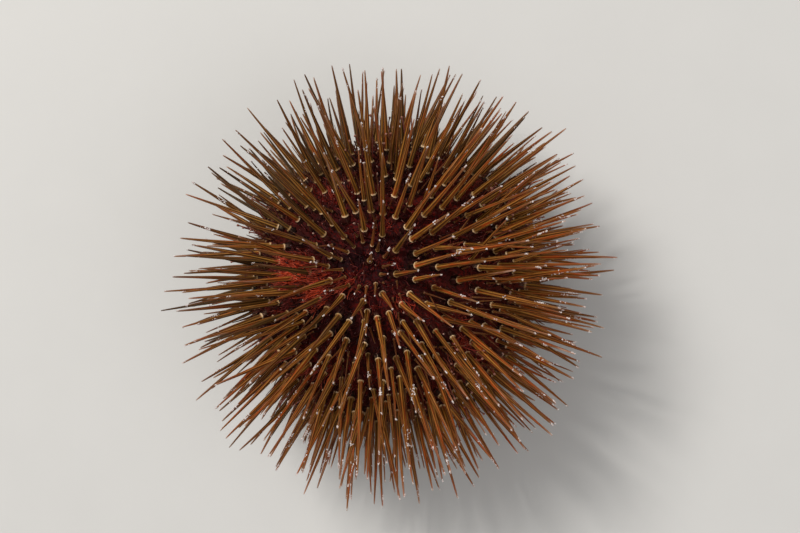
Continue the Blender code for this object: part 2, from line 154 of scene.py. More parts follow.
BARE_MOUTH_EDGE = 0.0006

# A spine's foot in metres: distance from the root, radius, and whether it is muscle or milled
# ring. The shaft follows: shares of the length, and radii in millimetres.
SPINE_FOOT = (
    (-0.00060, 0.00118, 1.0, 0.0),
    (-0.00010, 0.00108, 1.0, 0.0),
    (0.00030, 0.00090, 1.0, 0.0),
    (0.00062, 0.00069, 1.0, 0.0),
    (0.00074, 0.00061, 0.5, 0.3),
    (0.00082, 0.00070, 0.0, 1.0),
    (0.00093, 0.00074, 0.0, 1.0),
    (0.00103, 0.00069, 0.0, 0.8),
    (0.00115, 0.00057, 0.0, 0.2),
    (0.00150, 0.00053, 0.0, 0.0),
)
FOOT_STRETCH = 0.65
SHAFT_SHARES = (0, 0.14, 0.22, 0.30, 0.40, 0.50, 0.60, 0.70, 0.79, 0.87, 0.93, 0.975, 1.0)
SHAFT_RADII = (0.53, 0.50, 0.475, 0.45, 0.41, 0.365, 0.315, 0.268, 0.228, 0.195, 0.165, 0.14, 0.10)
APICAL_SLIMNESS = 0.82
SMALL_THICKNESS = 0.72
SMALL_BLEND = 0.3
SPINE_SIDES = 16
RIB_DEPTH = 0.07
RING_TEETH_DEPTH = 0.035
BEND = 0.00016
BEND_SHARES = (0.2, 1.0)
STRIPES = 5
STRIPE_TWIST = 25.0
STREAK_WIDTH = 0.55
STREAK_RATE = 100.0
STREAK_OFFSET = 40
# Spines that point along this way are warmer orange and lighter, those that point away darker olive:
# partly their own colour and partly painted shade on the side away from the light.
WARM_AND_LIT_WAY = (0.66, -0.66, 0.0)
WARM_AND_LIT_SPREAD = 0.16
LEVEL_SHARE = 0.6

# How strong the milled ring is: its rise with the thickness, a drop from that, and the least.
RING_RISE = 2.0
RING_DROP = 0.25
RING_LEAST = 0.5

# Fine forms between the spines: how many, how near each other and the three kinds of spines, what
# varies from one to the next, and their profile as shares of the length and of the radius. What
# varies is drawn in the order given: a range for a number, or the spread of a direction.
COAT_CLEAR = (0.0011, 0.0010, 0.0006)
FINE_SPINES = {
    "count": 2800,
    "apart": 0.00060,
    "clear": COAT_CLEAR,
    "draws": {
        "stray": 0.38,
        "length": (0.0012, 0.0028),
        "radius": (0.00007, 0.00012),
        "bend": (0, 0.0001),
        "side": 1,
        "tone": (0, 1),
    },
    "sides": 5,
    "shares": (-0.12, 0.0, 0.10, 0.18, 0.5, 0.8, 1.0),
    "profile": (1.7, 1.5, 1.45, 0.85, 0.95, 0.75, 0.35),
}
FINE_UPRIGHT = 0.35
FEET = {
    "count": 300,
    "apart": 0.0009,
    "clear": COAT_CLEAR,
    "only": "ambulacrum",
    "least_angle": math.radians(48),
    "draws": {
        "length": (0.0035, 0.0080),
        "stray": 0.16,
        "side": 1,
        "curl": (0.05, 0.30),
        "wave": (0.01, 0.05),
        "radius": (0.00011, 0.00016),
        "tone": (0, 1),
    },
    "sides": 8,
    "shares": (-0.05, 0.0, 0.1, 0.2, 0.3, 0.4, 0.5, 0.6, 0.7, 0.8, 0.88, 0.94, 0.955, 0.985, 1.0),
    "profile": (1.5, 1.35, 1.1, 1.0, 0.95, 0.9, 0.88, 0.86, 0.84, 0.82, 0.82, 0.95, 1.6, 1.8, 1.4),
}
FEET_WAVE_RATE = 6
FEET_LOWEST = 0.0008
PINCERS = {
    "count": 400,
    "apart": 0.0007,
    "clear": COAT_CLEAR,
    "draws": {
        "stray": 0.25,
        "length": (0.0012, 0.0030),
        "bend": (0, 0.0002),
        "side": 1,
        "radius": (0.00011, 0.00016),
        "tone": (0, 1),
    },
    "sides": 9,
    "shares": (-0.08, 0.0, 0.3, 0.66, 0.74, 0.82, 0.90, 0.96, 1.0),
    "profile": (0.5, 0.42, 0.36, 0.36, 0.9, 1.25, 1.15, 0.7, 0.25),
}
JAWS = 3
JAW_DEPTH = 0.18
JAWS_FROM = 0.8

# Threads over the skin, which bend by a share of their length. least_red is how red the skin has
# to be for them to grow.
THREAD = {
    "sides": 5,
    "shares": (-0.10, 0.12, 0.45, 0.8, 1.0),
    "profile": (1.2, 1.1, 0.95, 0.7, 0.3),
}
THREAD_DRAWS = {"bend": (0.05, 0.30), "side": 1, "tone": (0.2, 0.8)}
FIBRES = {
    **THREAD,
    "count": 3150,
    "least_red": 0.0,
    "draws": {
        "lift": (0.35, 1.1),
        "stray": 0.30,
        "length": (0.0010, 0.0030),
        "radius": (0.00004, 0.00007),
        **THREAD_DRAWS,
    },
}
RED_FIBRES = {
    **THREAD,
    "count": 1300,
    "least_red": 0.42,
    "draws": {
        "lift": (0.25, 0.6),
        "stray": 0.16,
        "length": (0.0018, 0.0036),
        "radius": (0.00006, 0.00010),
        **THREAD_DRAWS,
    },
}
FIBRE_PIECES = 2
FIBRE_LEAN = 0.55
FIBRE_LENGTH = 0.7
FIBRE_LENGTH_RED = 0.6
RED_TRIES = 30
BUNDLE_RADIUS = 0.013
BUNDLE_WIDTH = 0.0022
BUNDLE_STRETCH = 0.45
BUNDLE_SHARE = 0.6
BUNDLE_SEED = 9

# Clusters of growth on a spine: how likely, as a base and more on the side of the sway, where
# along the spine, how far they spread, and how many specks.
CLUSTERS = (
    (0.46, 1.0, 0.0, (0.25, 0.95), 0.02, (2, 6)),
    (0.26, 0.3, 1.4, (0.60, 0.96), 0.035, (10, 24)),
    (0.80, 0.5, 0.8, (0.985,), 0.014, (3, 8)),
)
SPECK_SIZE = (0.00006, 0.00019)
SPECK_AT = (0.1, 0.995)
SPECK_OUT = (0.8, 1.3)
SPECK_STRAY = 0.6
SPECK_STRETCH = (1.0, 1.7)
SPECK_LUMPS = (0.6, 1.0)
SPECK_SHARES = (-0.9, 0.0, 0.9)
SPECK_RADII = (0.5, 1.0, 0.4)
SPECK_SIDES = 5

# The skin of the test, with a boss of (reach, height) under each root. A grain is (height,
# width, seed).
SKIN_SAMPLES = 2000
SKIN_TURN_STEPS = 380
SKIN_ROWS = 150
SKIN_SINK = 0.00008
BOSS = (0.0016, 0.00042)
SMALL_BOSS = (0.0008, 0.00022)
APICAL_BOSS = (0.0008, 0.00020)
SKIN_GRAIN = (0.00006, 0.0021, 9)
AXIS_HOLE = 0.00004
EDGE_ROUNDING = 0.0002

# Turned lines as (radius, height): the plates' from their crown, the others from the mouth's edge.
PLATES_ROWS = 70
PLATES_SINK = 0.00005
PLATES_RADIUS = APICAL_RADIUS - 0.00012
PLATES_LINE = (
    (AXIS_HOLE, -0.00015),
    (0.0010, -0.0001),
    (0.0019, -0.0003),
    (0.0021, -0.0004),
    (0.0024, 0.0),
    (0.0038, 0.00022),
    (0.0050, 0.00012),
    (PLATES_RADIUS, -0.00012),
)
VENT_RINGS = ((0.0006, 6), (0.0012, 10), (0.0018, 15))
VENT_SCALE_JITTER = 0.15
OCULAR_PLATE = (0.0048, 0.0009)
OCULAR_FROM = 0.0040
GENITAL_PORE = (0.0042, 0.00022)
OCULAR_PORE = (0.0050, 0.00014)
OCULAR_PORE_SHARE = 0.7
PORE_DEPTH = 0.0003
SCALE_GROOVE = 0.00009
PLATE_GROOVE = 0.00013
GROOVE_DEPTH = 0.00014
MADREPORITE = (0.0037, 0.0012)
MADREPORITE_SWELL = 0.00024
MADREPORITE_GRAIN = (0.00008, 0.0006, 3)
MADREPORITE_SHOWN = 0.4
VENT = (0.00035, 0.0006)
MOUTH_ROWS = 90
MOUTH_OUTER = PERISTOME_RADIUS - 0.00005
MOUTH_LINE = (
    (MOUTH_OUTER, 0.0008),
    (0.0092, 0.0009),
    (0.0058, 0.0007),
    (0.0047, 0.0001),
    (0.0043, -0.0005),
    (0.0039, -0.0007),
    (0.0035, -0.0004),
    (0.0032, 0.0003),
    (0.0030, 0.0016),
    (AXIS_HOLE, 0.0018),
)
LIP = (0.0041, 0.0007)

# Radial folds: how many, how deep, and the grain that makes them wander.
LIP_FOLDS = (60, 0.00009, (3, 0.006, 4))
SKIN_FOLDS = (34, 0.00007, (4, 0.008, 7))
FOLDS_SHOWN = 0.0002
MOUTH_GRAIN = (0.00008, 0.0014, 8)
MOUTH_REDNESS = 0.5

LANTERN_LINE = (
    (0.0029, 0.0016),
    (0.0028, 0.0009),
    (0.0024, 0.0002),
    (0.0017, -0.0002),
    (0.0010, -0.0001),
    (AXIS_HOLE, 0.0002),
)
LANTERN_STEPS = 160
LANTERN_ROWS = 40
LOBE_DEPTH = 0.00022
LOBE_SINK = 0.0002
LOBES_BELOW = 0.0008
LOBES_BEYOND = 0.001

# Buccal feet and gills, with profiles in millimetres of (share of the length, radius).
BUCCAL_PROFILE = (
    (0, 0.50),
    (0.15, 0.44),
    (0.5, 0.36),
    (0.70, 0.36),
    (0.78, 0.58),
    (0.86, 0.66),
    (0.96, 0.62),
    (1.0, 0.40),
)
BUCCAL_RADIUS = 0.0060
BUCCAL_LENGTH = 0.0024
BUCCAL_TURN = math.radians(10)
BUCCAL_LEAN = 0.2
BUCCAL_STRAY = 0.05
BUCCAL_RINGS = 22
BUCCAL_SIDES = 14
GILL_PROFILE = (0.21, 0.19, 0.17, 0.16, 0.15, 0.14, 0.12, 0.07)
GILL_RADIUS = 0.0088
GILL_LENGTH = 0.0014
GILL_TURN = math.radians(15)
GILL_SINK = 0.0004
GILL_SIDES = 8
GILL_TRUNK = 2.0
FILAMENTS = 26
FILAMENT_LENGTH = (0.0008, 0.0015)
FILAMENT_LEVELS = (0.1, 1.0)
FILAMENT_REACH = 0.0012
FILAMENT_STRAY = 0.55
FILAMENT_LEAN = -0.25
FILAMENT_FLATTEST = -0.15

# A tooth from its hidden end to its tip, as (share of the length, metres).
TOOTH_RADIUS = ((0, 0.0016), (0.5, 0.0013), (1, 0.00050))
TOOTH_DEPTH = ((0, -0.0012), (0.5, 0.0008), (1, 0.0025))
TOOTH_WIDTH = ((0, 0.00056), (0.5, 0.00050), (0.85, 0.00030), (1, 0.00018))
TOOTH_THICKNESS = ((0, 0.0009), (0.5, 0.0008), (1, 0.00025))
TOOTH_RINGS = 18
TOOTH_SIDES = 20
TOOTH_KEEL = 0.55
TOOTH_SQUARENESS = 0.7
TOOTH_INNER = 0.8
TOOTH_OUTER = 0.5
TOOTH_SPOTS = (0.2, 0.15)

# How red the skin is: everywhere, on the side of the sway, in waves of (share, width, seed), and
# in patches left of the vent and above it of (place, reach, strength).
RED_LEAST = 0.06
RED_LEE = 0.10
RED_WAVES = ((0.26, 0.016, 5), (0.30, 0.0060, 6))
RED_PATCHES = (
    ((-0.0135, -0.0010, 0.0335), 0.0039, 1.05),
    ((-0.0088, -0.0054, 0.0345), 0.0024, 0.70),
    ((-0.0060, 0.0090, 0.0345), 0.0050, 0.30),
    ((-0.0035, -0.0030, 0.0350), 0.0018, 0.34),
    ((0.0008, 0.0030, 0.0350), 0.0018, 0.34),
)
WAVE_OCTAVES = (1.0, 1.9, 3.7)
WAVES_EACH = 5
WAVE_PHASES = 6.3

# The unwrapped map: how far out the skin reaches, and the patch of one tube with its two caps.
UNWRAP_REACH = 0.48
UNWRAP_HOLE = 0.004
PATCH = 0.003
PATCH_BODY = 0.9
PATCH_CAP = 0.024
PATCH_CAP_AT = 0.475

# Colours as screen levels from 0 to 255. A shaft's stops are shares of its length.
# The olive shaft is darker than the orange one: partly the spines' own colour and partly painted shade.
OLIVE_SHAFT = (
    (0.00, (122, 88, 38)),
    (0.15, (126, 84, 35)),
    (0.50, (122, 71, 30)),
    (0.76, (114, 62, 30)),
    (0.90, (122, 78, 52)),
    (0.96, (156, 116, 92)),
    (1.00, (226, 202, 188)),
)
ORANGE_SHAFT = (
    (0.00, (140, 100, 42)),
    (0.15, (156, 102, 40)),
    (0.50, (164, 90, 35)),
    (0.76, (150, 79, 36)),
    (0.90, (154, 94, 62)),
    (0.96, (176, 128, 102)),
    (1.00, (234, 212, 198)),
)
SPINE_GLOSS = {
    "Specular_IOR_Level": 0.28,
    "Specular_Tint": (1.0, 0.72, 0.46, 1.0),
    "Sheen_Weight": 0.06,
    "Sheen_Roughness": 0.4,
    "Sheen_Tint": (1.0, 0.66, 0.30, 1.0),
}
SHAFT_GOLDEN = (142, 92, 16)
SHAFT_ASHEN = (116, 76, 54)
# Redder spines where the skin is red: partly their own tint, partly painted red light reflected from the
# skin.
SHAFT_RED = (146, 62, 30)
# Orange-red mottle on the shafts: partly their own colour, partly painted highlight.
SHAFT_RUST_AND_HIGHLIGHT = (182, 70, 24)
# Pale pink streaks on the outer part of the shafts: partly frosting, partly painted highlight.
SHAFT_FROST_AND_HIGHLIGHT = (218, 182, 162)
# Painted shade, laid over a share of the spines on the darker olive side.
SHAFT_PAINTED_SHADE = (50, 36, 18)
SHAFT_SMALL = (98, 54, 38)
# Painted shade in the grooves of the shaft, olive and orange; partly the shaft's own dark stripes.
GROOVE_SHADE_COLOURS = ((42, 28, 12), (72, 32, 12))
# Painted highlight on the ridges of the shaft, partly their own golden colour.
RIDGE_HIGHLIGHT = (206, 148, 70)
RING_COLOURS = ((180, 144, 98), (250, 214, 168))
MUSCLE_STOPS = ((0.35, (10, 3, 6)), (0.65, (40, 8, 10)))
MUSCLE_RED = (120, 18, 12)
THREAD_FLANK = (98, 38, 16)
FOOT_COLOURS = ((84, 32, 26), (134, 66, 50))
FOOT_RED = (160, 40, 26)
FOOT_DISC = (150, 92, 72)
STALK_COLOURS = ((70, 22, 22), (160, 40, 26))
HEAD_COLOURS = ((54, 16, 18), (206, 164, 146))
GROWTH_COLOURS = ((214, 196, 190), (244, 240, 236))
GROWTH_PINK = (186, 140, 130)
SKIN_REDS = ((44, 7, 8), (150, 26, 14))
WART_COLOUR = (84, 24, 24)
TOOTH_STOPS = ((0.0, (150, 118, 84)), (0.45, (214, 200, 172)), (1.0, (240, 236, 226)))
TOOTH_BROWN = (176, 150, 116)
FLOOR_COLOURS = ((206, 204, 200), (212, 210, 206))

# Threads: specular level, dark from and to, red from and to, and tip.
FINE_LOOK = (0.12, (38, 12, 8), (92, 34, 24), (76, 12, 10), (204, 48, 24), (200, 146, 128))
FIBRE_LOOK = (0.35, (28, 8, 8), (116, 38, 36), (44, 6, 8), (242, 84, 38), (226, 116, 92))

# Skins: dark, light, range of roughness, specular level, and colour down the side if it differs.
SKINS = {
    "test_skin": ((28, 7, 8), (58, 14, 13), (0.60, 0.80), 0.06, (84, 30, 14)),
    "plates": ((16, 4, 7), (42, 11, 13), (0.60, 0.80), 0.06, None),
    "membrane": ((78, 34, 28), (132, 70, 56), (0.28, 0.48), 0.3, None),
    "jaws": ((96, 60, 44), (160, 120, 92), (0.60, 0.80), 0.06, None),
}

# The fine grain of soft forms: how many in a metre, range of roughness, and depth in metres.
THREAD_GRAIN = (1400.0, (0.50, 0.7), 0.00005)
FOOT_GRAIN = (2200.0, (0.28, 0.45), 0.00004)
PINCER_GRAIN = (3000.0, (0.2, 0.36), 0.00003)
SKIN_GRAINS = 1900.0
SKIN_WARTS = 1500.0
SKIN_BLOTCHES = 420.0
GROWTH_GRAINS = 2600.0
TOOTH_GRAINS = 1800.0
FLOOR_GRAINS = 60.0
FLANK_TOP = 0.0350
FLANK_LOW = 0.0260
GRAIN_RANGE = (0.3, 0.7)
NOISE_ROUGHNESS = 0.55

# The camera looks steeply down from the photo's lower right, its right side nearly along +X.
CAMERA_TURN = math.radians(-34)
CAMERA_ELEVATION = math.radians(69)
CAMERA_DISTANCE = 0.342
CAMERA_LENS = 77
CAMERA_TARGET = (0.0028, 0.0025, 0.0250)
CAMERA_NEAREST = 0.01

# Soft studio lights: name, place, size, power and colour.
LIGHTS = (
    ("key", (-0.34, 0.40, 0.80), 0.30, 6.5, (1.0, 0.98, 0.95)),
    ("fill", (0.55, -0.35, 0.60), 0.60, 2.2, (0.95, 0.97, 1.0)),
)
LIGHTS_TARGET = (0, 0, 0.02)
WORLD_COLOUR = (1.0, 1.0, 1.0, 1.0)
WORLD_STRENGTH = 0.32
FLOOR_REACH = 1.5


# Small helpers.


def linear(levels):
    """A colour in linear light from three screen levels."""
    shares = [level / 255 for level in levels]
    return tuple(s / 12.92 if s <= 0.04045 else ((s + 0.055) / 1.055) ** 2.4 for s in shares)


def on_circle(radius, turn, z):
    """A point at this turn about the axis, in the single precision that the solids have."""
    return np.array(Vector((radius * math.cos(turn), radius * math.sin(turn), z)))


def round_axis(radius, turns, z):
    """The same for arrays, in full precision."""
    parts = (radius * np.cos(turns), radius * np.sin(turns), z)
    return np.stack(np.broadcast_arrays(*parts), axis=-1)


def unit(vectors):
    """Vectors in the last axis of an array, each of length 1."""
    return vectors / np.linalg.norm(vectors, axis=-1, keepdims=True)


def even_turns(count):
    return 2 * math.pi * np.arange(count) / count


def running(steps):
    """The sum of the steps before each, and of all of them."""
    return np.concatenate([[0], np.cumsum(steps)])


def step_lengths(places):
    return np.linalg.norm(np.diff(places, axis=0), axis=1)


def curve(table, at):
    """The value at a share of the length, from (share, value) rows."""
    return np.interp(at, *zip(*table))


def columns(spines, *keys):
    """One array for each key of the spines."""
    return [np.array([spine[key] for spine in spines]) for key in keys]


def bump_at(far, reach):
    """1 at no distance, and soon 0 beyond the reach."""
    return np.exp(-((far / reach) ** 2))


@functools.cache
def axis():
    """Where the animal's own axis stands in the frame."""
    low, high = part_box("periproct")
    return np.array([(low[0] + high[0]) / 2, (low[1] + high[1]) / 2, 0.0])


# The outline and the rows of spines.


def test_point(angle):
    """(radius, z) on the test's outline. The angle is 0 at the vent and pi at the mouth."""
    upper = math.cos(angle) >= 0
    power = 2 / (DOME_FULLNESS if upper else BASE_FULLNESS)
    height = DOME_HEIGHT if upper else -BASE_DEPTH
    radius = TEST_RADIUS * math.sin(angle) ** power
    return radius, AMBITUS_Z + height * abs(math.cos(angle)) ** power


def test_angle(radius, upper):
    """The angle at which the outline has this radius, above or below the ambitus."""
    power = 2 / (DOME_FULLNESS if upper else BASE_FULLNESS)
    angle = math.asin((radius / TEST_RADIUS) ** (1 / power))
    return angle if upper else math.pi - angle


def outline(first_radius, last_radius, count):
    """Angles down the outline between a radius above and one below, with (radius, z) at each."""
    angles = np.linspace(test_angle(first_radius, True), test_angle(last_radius, False), count)
    return angles, np.array([test_point(a) for a in angles])


def rim_z():
    return test_point(test_angle(APICAL_RADIUS, True))[1]


def mouth_z():
    return test_point(test_angle(PERISTOME_RADIUS, False))[1]


def rays():
    """(number, middle of the ambulacrum, middle of the interambulacrum) of each ray."""
    for ray in range(RAYS):
        middle = FIRST_RAY + RAY_ANGLE * ray
        yield ray + 1, middle, middle + RAY_ANGLE / 2


def sectors():
    """(name, middle, width) of the ten sectors of the test, in turn."""
    for number, middle, between in rays():
        yield f"ambulacrum_{number}", middle, AMBULACRUM_ANGLE
        yield f"interambulacrum_{number}", between, RAY_ANGLE - AMBULACRUM_ANGLE


def sector_of(turn):
    """The name of the sector that has this turn about the axis."""
    for name, middle, width in sectors():
        off = (turn - middle + math.pi) % (2 * math.pi) - math.pi
        if abs(off) <= width / 2:
            return name
    return "ambulacrum_1"


def station(angle):
    """A spine's usual angle from upright and its usual length, from its root's angle."""
    roots, tilts, lengths = zip(*SPINE_STATIONS)
    here = math.degrees(angle)
    return math.radians(np.interp(here, roots, tilts)), float(np.interp(here, roots, lengths))


def new_spine(rng, sector, root, angle, turn, thickness=1.0):
    """One spine's sector, root, direction, usual length and thickness, with some variation."""
    tilt, length = station(angle)
    along = on_circle(math.sin(tilt), turn, math.cos(tilt))
    along += SWAY * on_circle(1.0, SWAY_TURN, 0.0)
    along += rng.normal(0, SPINE_SPREAD, 3)
    length *= 1 + LENGTH_SWAY * math.sin(tilt) * math.cos(turn - SWAY_TURN)
    return {
        "sector": sector,
        "root": root,
        "along": unit(along),
        "length": length * rng.uniform(*LENGTH_RANGE),
        "thick": thickness * rng.uniform(*THICKNESS_RANGE),
        "angle": angle,
        "turn": turn,
    }


def row_angles():
    """The outline's angle at each row of roots, evenly spaced along the test."""
    angles, places = outline(
        APICAL_RADIUS + ROOT_TO_EDGE, PERISTOME_RADIUS + ROOT_TO_EDGE, ROW_SAMPLES
    )
    along = running(step_lengths(places))
    rows = round(along[-1] / ROW_SPACING) + 1
    return np.interp(np.linspace(0, along[-1], rows), along, angles)


def places_across(half, spacing, odd):
    """Where the roots of one row stand across a sector, staggered from the rows beside it."""
    count = max(1, round(2 * half / spacing))
    room = half - ROOT_TO_EDGE
    if not odd or 2 * room < ROOT_SPACING_LEAST:
        return [half * ((2 * k + 1) / count - 1) for k in range(count)]
    return [min(max(half * (2 * k / count - 1), -room), room) for k in range(count + 1)]


def sector_spines(rng):
    """Spines in rows on the sectors, from the apical disc down to the mouth."""
    angles = row_angles()
    spines = []
    for row, angle in enumerate(angles):
        radius, _ = test_point(angle)
        spacing = ROOT_SPACING_DOME if angle < math.pi / 2 else ROOT_SPACING_BASE
        shift = 0 if row in (0, len(angles) - 1) else ROOT_JITTER / TEST_RADIUS
        for name, middle, width in sectors():
            half = radius * math.sin(width / 2)
            for across in places_across(half, spacing, row % 2 == 1):
                if abs(across) < half - ROOT_TO_EDGE - ROOT_JITTER:
                    across += rng.uniform(-ROOT_JITTER, ROOT_JITTER)
                here = angle + rng.uniform(-shift, shift)
                turn = middle + math.asin(across / radius)
                root_radius, root_z = test_point(here)
                spines.append(new_spine(rng, name, on_circle(root_radius, turn, root_z), here, turn))
    return spines


def apical_spines(rng):
    """Short spines on the apical disc: one on each ocular plate and two on each genital plate."""
    spines = []
    for _, ocular, genital in rays():
        for radius, turn in (
            (OCULAR_ROOT_RADIUS, ocular),
            (GENITAL_ROOT_RADIUS, genital - GENITAL_ROOT_TURN),
            (GENITAL_ROOT_RADIUS, genital + GENITAL_ROOT_TURN),
        ):
            root = on_circle(radius, turn, rim_z())
            angle = test_angle(radius, True)
            spines.append(new_spine(rng, "apical_disc", root, angle, turn, APICAL_SPINE_THICKNESS))
    return spines


def nearest(first, one, second, two):
    """How far along first + s * one and second + t * two the two segments are nearest."""
    between = first - second
    a = (one * one).sum(1)
    b = (one * two).sum(1)
    c = (one * between).sum(1)
    e = (two * two).sum(1)
    f = (two * between).sum(1)
    s = np.clip((b * f - c * e) / np.maximum(a * e - b * b, 1e-15), 0, 1)
    t = np.clip((b * s + f) / e, 0, 1)
    s = np.clip((b * t - c) / a, 0, 1)
    return s, t


def thickness(share):
    """A spine's radius at a share of its usual length, for one of usual thickness."""
    stem = SPINE_RADIUS + (WAIST_RADIUS - SPINE_RADIUS) * share / WAIST_SHARE
    point = WAIST_RADIUS * (1 - share) / (1 - WAIST_SHARE)
    return np.minimum(stem, point)


def lengths_to_floor(roots, along, usual):
    """Lengths that end the spines at the floor, and which of them stand on it."""
    to_floor = roots[:, 2] / np.maximum(-along[:, 2], 1e-9)
    stands = (to_floor < usual) & (along[:, 2] < -STEEPEST_FOOT_SLANT)
    return np.where(stands, to_floor, usual), stands


def lift_from_floor(roots, along, usual, stands):
    """Turns up the spines that would reach the floor at too flat a slant to stand on it."""
    lowest = (FLOOR_CLEARANCE - roots[:, 2]) / usual
    low = ~stands & (along[:, 2] < lowest)
    along[low, 2] = lowest[low]
    return unit(along)


def spread_apart(spines, fixed=(), rounds=PUSH_ROUNDS, clearance=SPINE_CLEARANCE):
    """Turns the spines about their roots until none comes near another or a fixed one."""
    count = len(spines)
    roots, along, usual, thick = columns([*spines, *fixed], "root", "along", "length", "thick")
    held = along[count:].copy()
    for _ in range(rounds):
        length, stands = lengths_to_floor(roots, along, usual)
        along = lift_from_floor(roots, along, usual, stands)
        middle = roots + along * length[:, None] / 2
        far = np.linalg.norm(middle[:count, None] - middle[None], axis=2)
        near = far < (length[:count, None] + length[None]) / 2 + 4 * SPINE_RADIUS
        i, j = np.nonzero(np.triu(near, 1))
        one = along[i] * length[i, None]
        two = along[j] * length[j, None]
        s, t = nearest(roots[i], one, roots[j], two)
        apart = roots[i] + one * s[:, None] - roots[j] - two * t[:, None]
        gap = np.linalg.norm(apart, axis=1)
        wide_i = thickness(s * length[i] / usual[i]) * thick[i]
        wide_j = thickness(t * length[j] / usual[j]) * thick[j]
        short = wide_i + wide_j + clearance - gap
        close = short > 0
        if not close.any():
            break
        i, j, s, t = i[close], j[close], s[close], t[close]
        step = (PUSH_SHARE * short[close] + PUSH_LEAST) / np.maximum(gap[close], 1e-9)
        push = apart[close] * step[:, None]
        np.add.at(along, i, push / np.maximum(s * length[i], PUSH_ARM_LEAST)[:, None])
        np.add.at(along, j, -push / np.maximum(t * length[j], PUSH_ARM_LEAST)[:, None])
        along[count:] = held
        along = unit(along)
    print(count, "spines,", int(close.sum()), "pairs still close")
    for k, spine in enumerate(spines):
        spine.update(along=along[k], reach=length[k], stands=bool(stands[k]))


# Further roots, thrown at random over the test and kept apart.


def outline_by_area():
    """Angles down the outline, and the share of the test's surface above each."""
    angles, places = outline(BARE_RADIUS, PERISTOME_RADIUS + BARE_MOUTH_EDGE, AREA_SAMPLES)
    share = running(step_lengths(places) * (places[1:, 0] + places[:-1, 0]) / 2)
    return angles, share / share[-1]


def throw_roots(rng, kind, grown):
    """Arrays of random roots, angles and turns on the test, clear of each other.

    grown is a list of groups of spines, which kind["clear"] keeps them away from.
    """
    taken = [(columns(group, "root")[0], gap) for group, gap in zip(grown, kind["clear"])]
    only = kind.get("only")
    angles, share = outline_by_area()
    found = np.zeros((kind["count"], 3))
    places = []
    for _ in range(TRIES_EACH * kind["count"]):
        if len(places) == kind["count"]:
            break
        angle = float(np.interp(rng.uniform(), share, angles))
        turn = rng.uniform(0, 2 * math.pi)
        if angle < kind.get("least_angle", 0) or (only and not sector_of(turn).startswith(only)):
            continue
        radius, z = test_point(angle)
        root = on_circle(radius, turn, min(z, rim_z()))
        near = [*taken, (found[: len(places)], kind["apart"])]
        if any((((others - root) ** 2).sum(1) < gap * gap).any() for others, gap in near):
            continue
        found[len(places)] = root
        places.append((root, angle, turn))
    return [np.array(part) for part in zip(*places)]


def lee(turn):
    """1 on the side that the spines sway towards, 0 on the far side."""
    return 0.5 + 0.5 * np.cos(turn - SWAY_TURN)


def cover(angle, turn):
    """The share of the further spines that grow here: fewer on the top and on the left."""
    first, last = COVER_ANGLES
    low = min(max((math.degrees(angle) - first) / (last - first), 0), 1)
    more = 1 - COVER_LEAST
    return (COVER_LEAST + more * low) * (COVER_LEAST + more * max(lee(turn), low**2))


def more_spines(rng, kind, grown):
    """Spines of one kind between those that are there."""
    made = []
    for root, angle, turn in zip(*throw_roots(rng, kind, grown)):
        if rng.uniform() > cover(angle, turn):
            continue
        spine = new_spine(rng, sector_of(turn), root, angle, turn)
        spine["length"] *= rng.uniform(*kind["length"])
        spine["thick"] *= rng.uniform(*kind["thick"])
        spine["along"] = unit(spine["along"] + rng.normal(0, kind["stray"], 3))
        made.append(spine)
    return made


def surface_normals(angles, turns):
    """The directions straight out of the test."""
    step = 1e-4
    normals = []
    for angle, turn in zip(angles, turns):
        radius, z = test_point(angle - step)
        next_radius, next_z = test_point(angle + step)
        run = math.hypot(next_radius - radius, next_z - z)
        normals.append(on_circle((z - next_z) / run, turn, (next_radius - radius) / run))
    return np.array(normals)


# Meshes as arrays.


def tube_points(centres, radii):
    """Points of tubes: centres is (tubes, rings, 3) and radii is (tubes, rings, sides)."""
    tangents = unit(np.gradient(centres, axis=1))
    mean = tangents.mean(axis=1)
    helper = np.zeros_like(mean)
    helper[np.arange(len(mean)), np.abs(mean).argmin(axis=1)] = 1.0
    one = unit(np.cross(tangents, helper[:, None]))
    two = np.cross(tangents, one)
    turns = even_turns(radii.shape[2])[:, None]
    ring = one[:, :, None] * np.cos(turns) + two[:, :, None] * np.sin(turns)
    return centres[:, :, None] + ring * radii[..., None]


def tube_faces(tubes, rings, sides):
    """(quads, caps) of tubes whose points are numbered by tube, ring and side."""
    numbers = np.arange(tubes * rings * sides).reshape(tubes, rings, sides)
    after = np.roll(numbers, -1, axis=2)
    quads = np.stack([numbers[:, :-1], after[:, :-1], after[:, 1:], numbers[:, 1:]], axis=3)
    return quads.reshape(-1, 4), np.concatenate([numbers[:, 0, ::-1], numbers[:, -1]])


def on_map(reach, turns):
    """Places on the unwrapped map, round its middle."""
    return np.stack([0.5 + reach * np.cos(turns), 0.5 + reach * np.sin(turns)], axis=-1)


def unwrap(angles, turns):
    """Places on the test's own unwrap: round the vent, farther out towards the mouth."""
    return on_map(np.asarray(angles) / math.pi * UNWRAP_REACH, turns)


def patch_corners(spots, rings, sides):
    """OFBake corners for tubes, each on its own small patch at its root's spot on the map."""
    turn, ring = np.meshgrid(np.arange(sides), np.arange(rings - 1))
    across = np.stack([turn, turn + 1, turn + 1, turn], axis=2) / sides - 0.5
    up = PATCH_BODY * (np.stack([ring, ring, ring + 1, ring + 1], axis=2) / (rings - 1) - 0.5)
    body = np.stack([across, up], axis=3).reshape(-1, 2)
    turns = even_turns(sides)
    disc = np.stack([np.cos(turns), np.sin(turns)], axis=1) * PATCH_CAP
    parts = (body, disc[::-1] - (0, PATCH_CAP_AT), disc + (0, PATCH_CAP_AT))
    return np.concatenate([(spots[:, None] + PATCH * part).reshape(-1, 2) for part in parts])


def add_object(name, data):
    made = bpy.data.objects.new(name, data)
    bpy.context.scene.collection.objects.link(made)
    return made


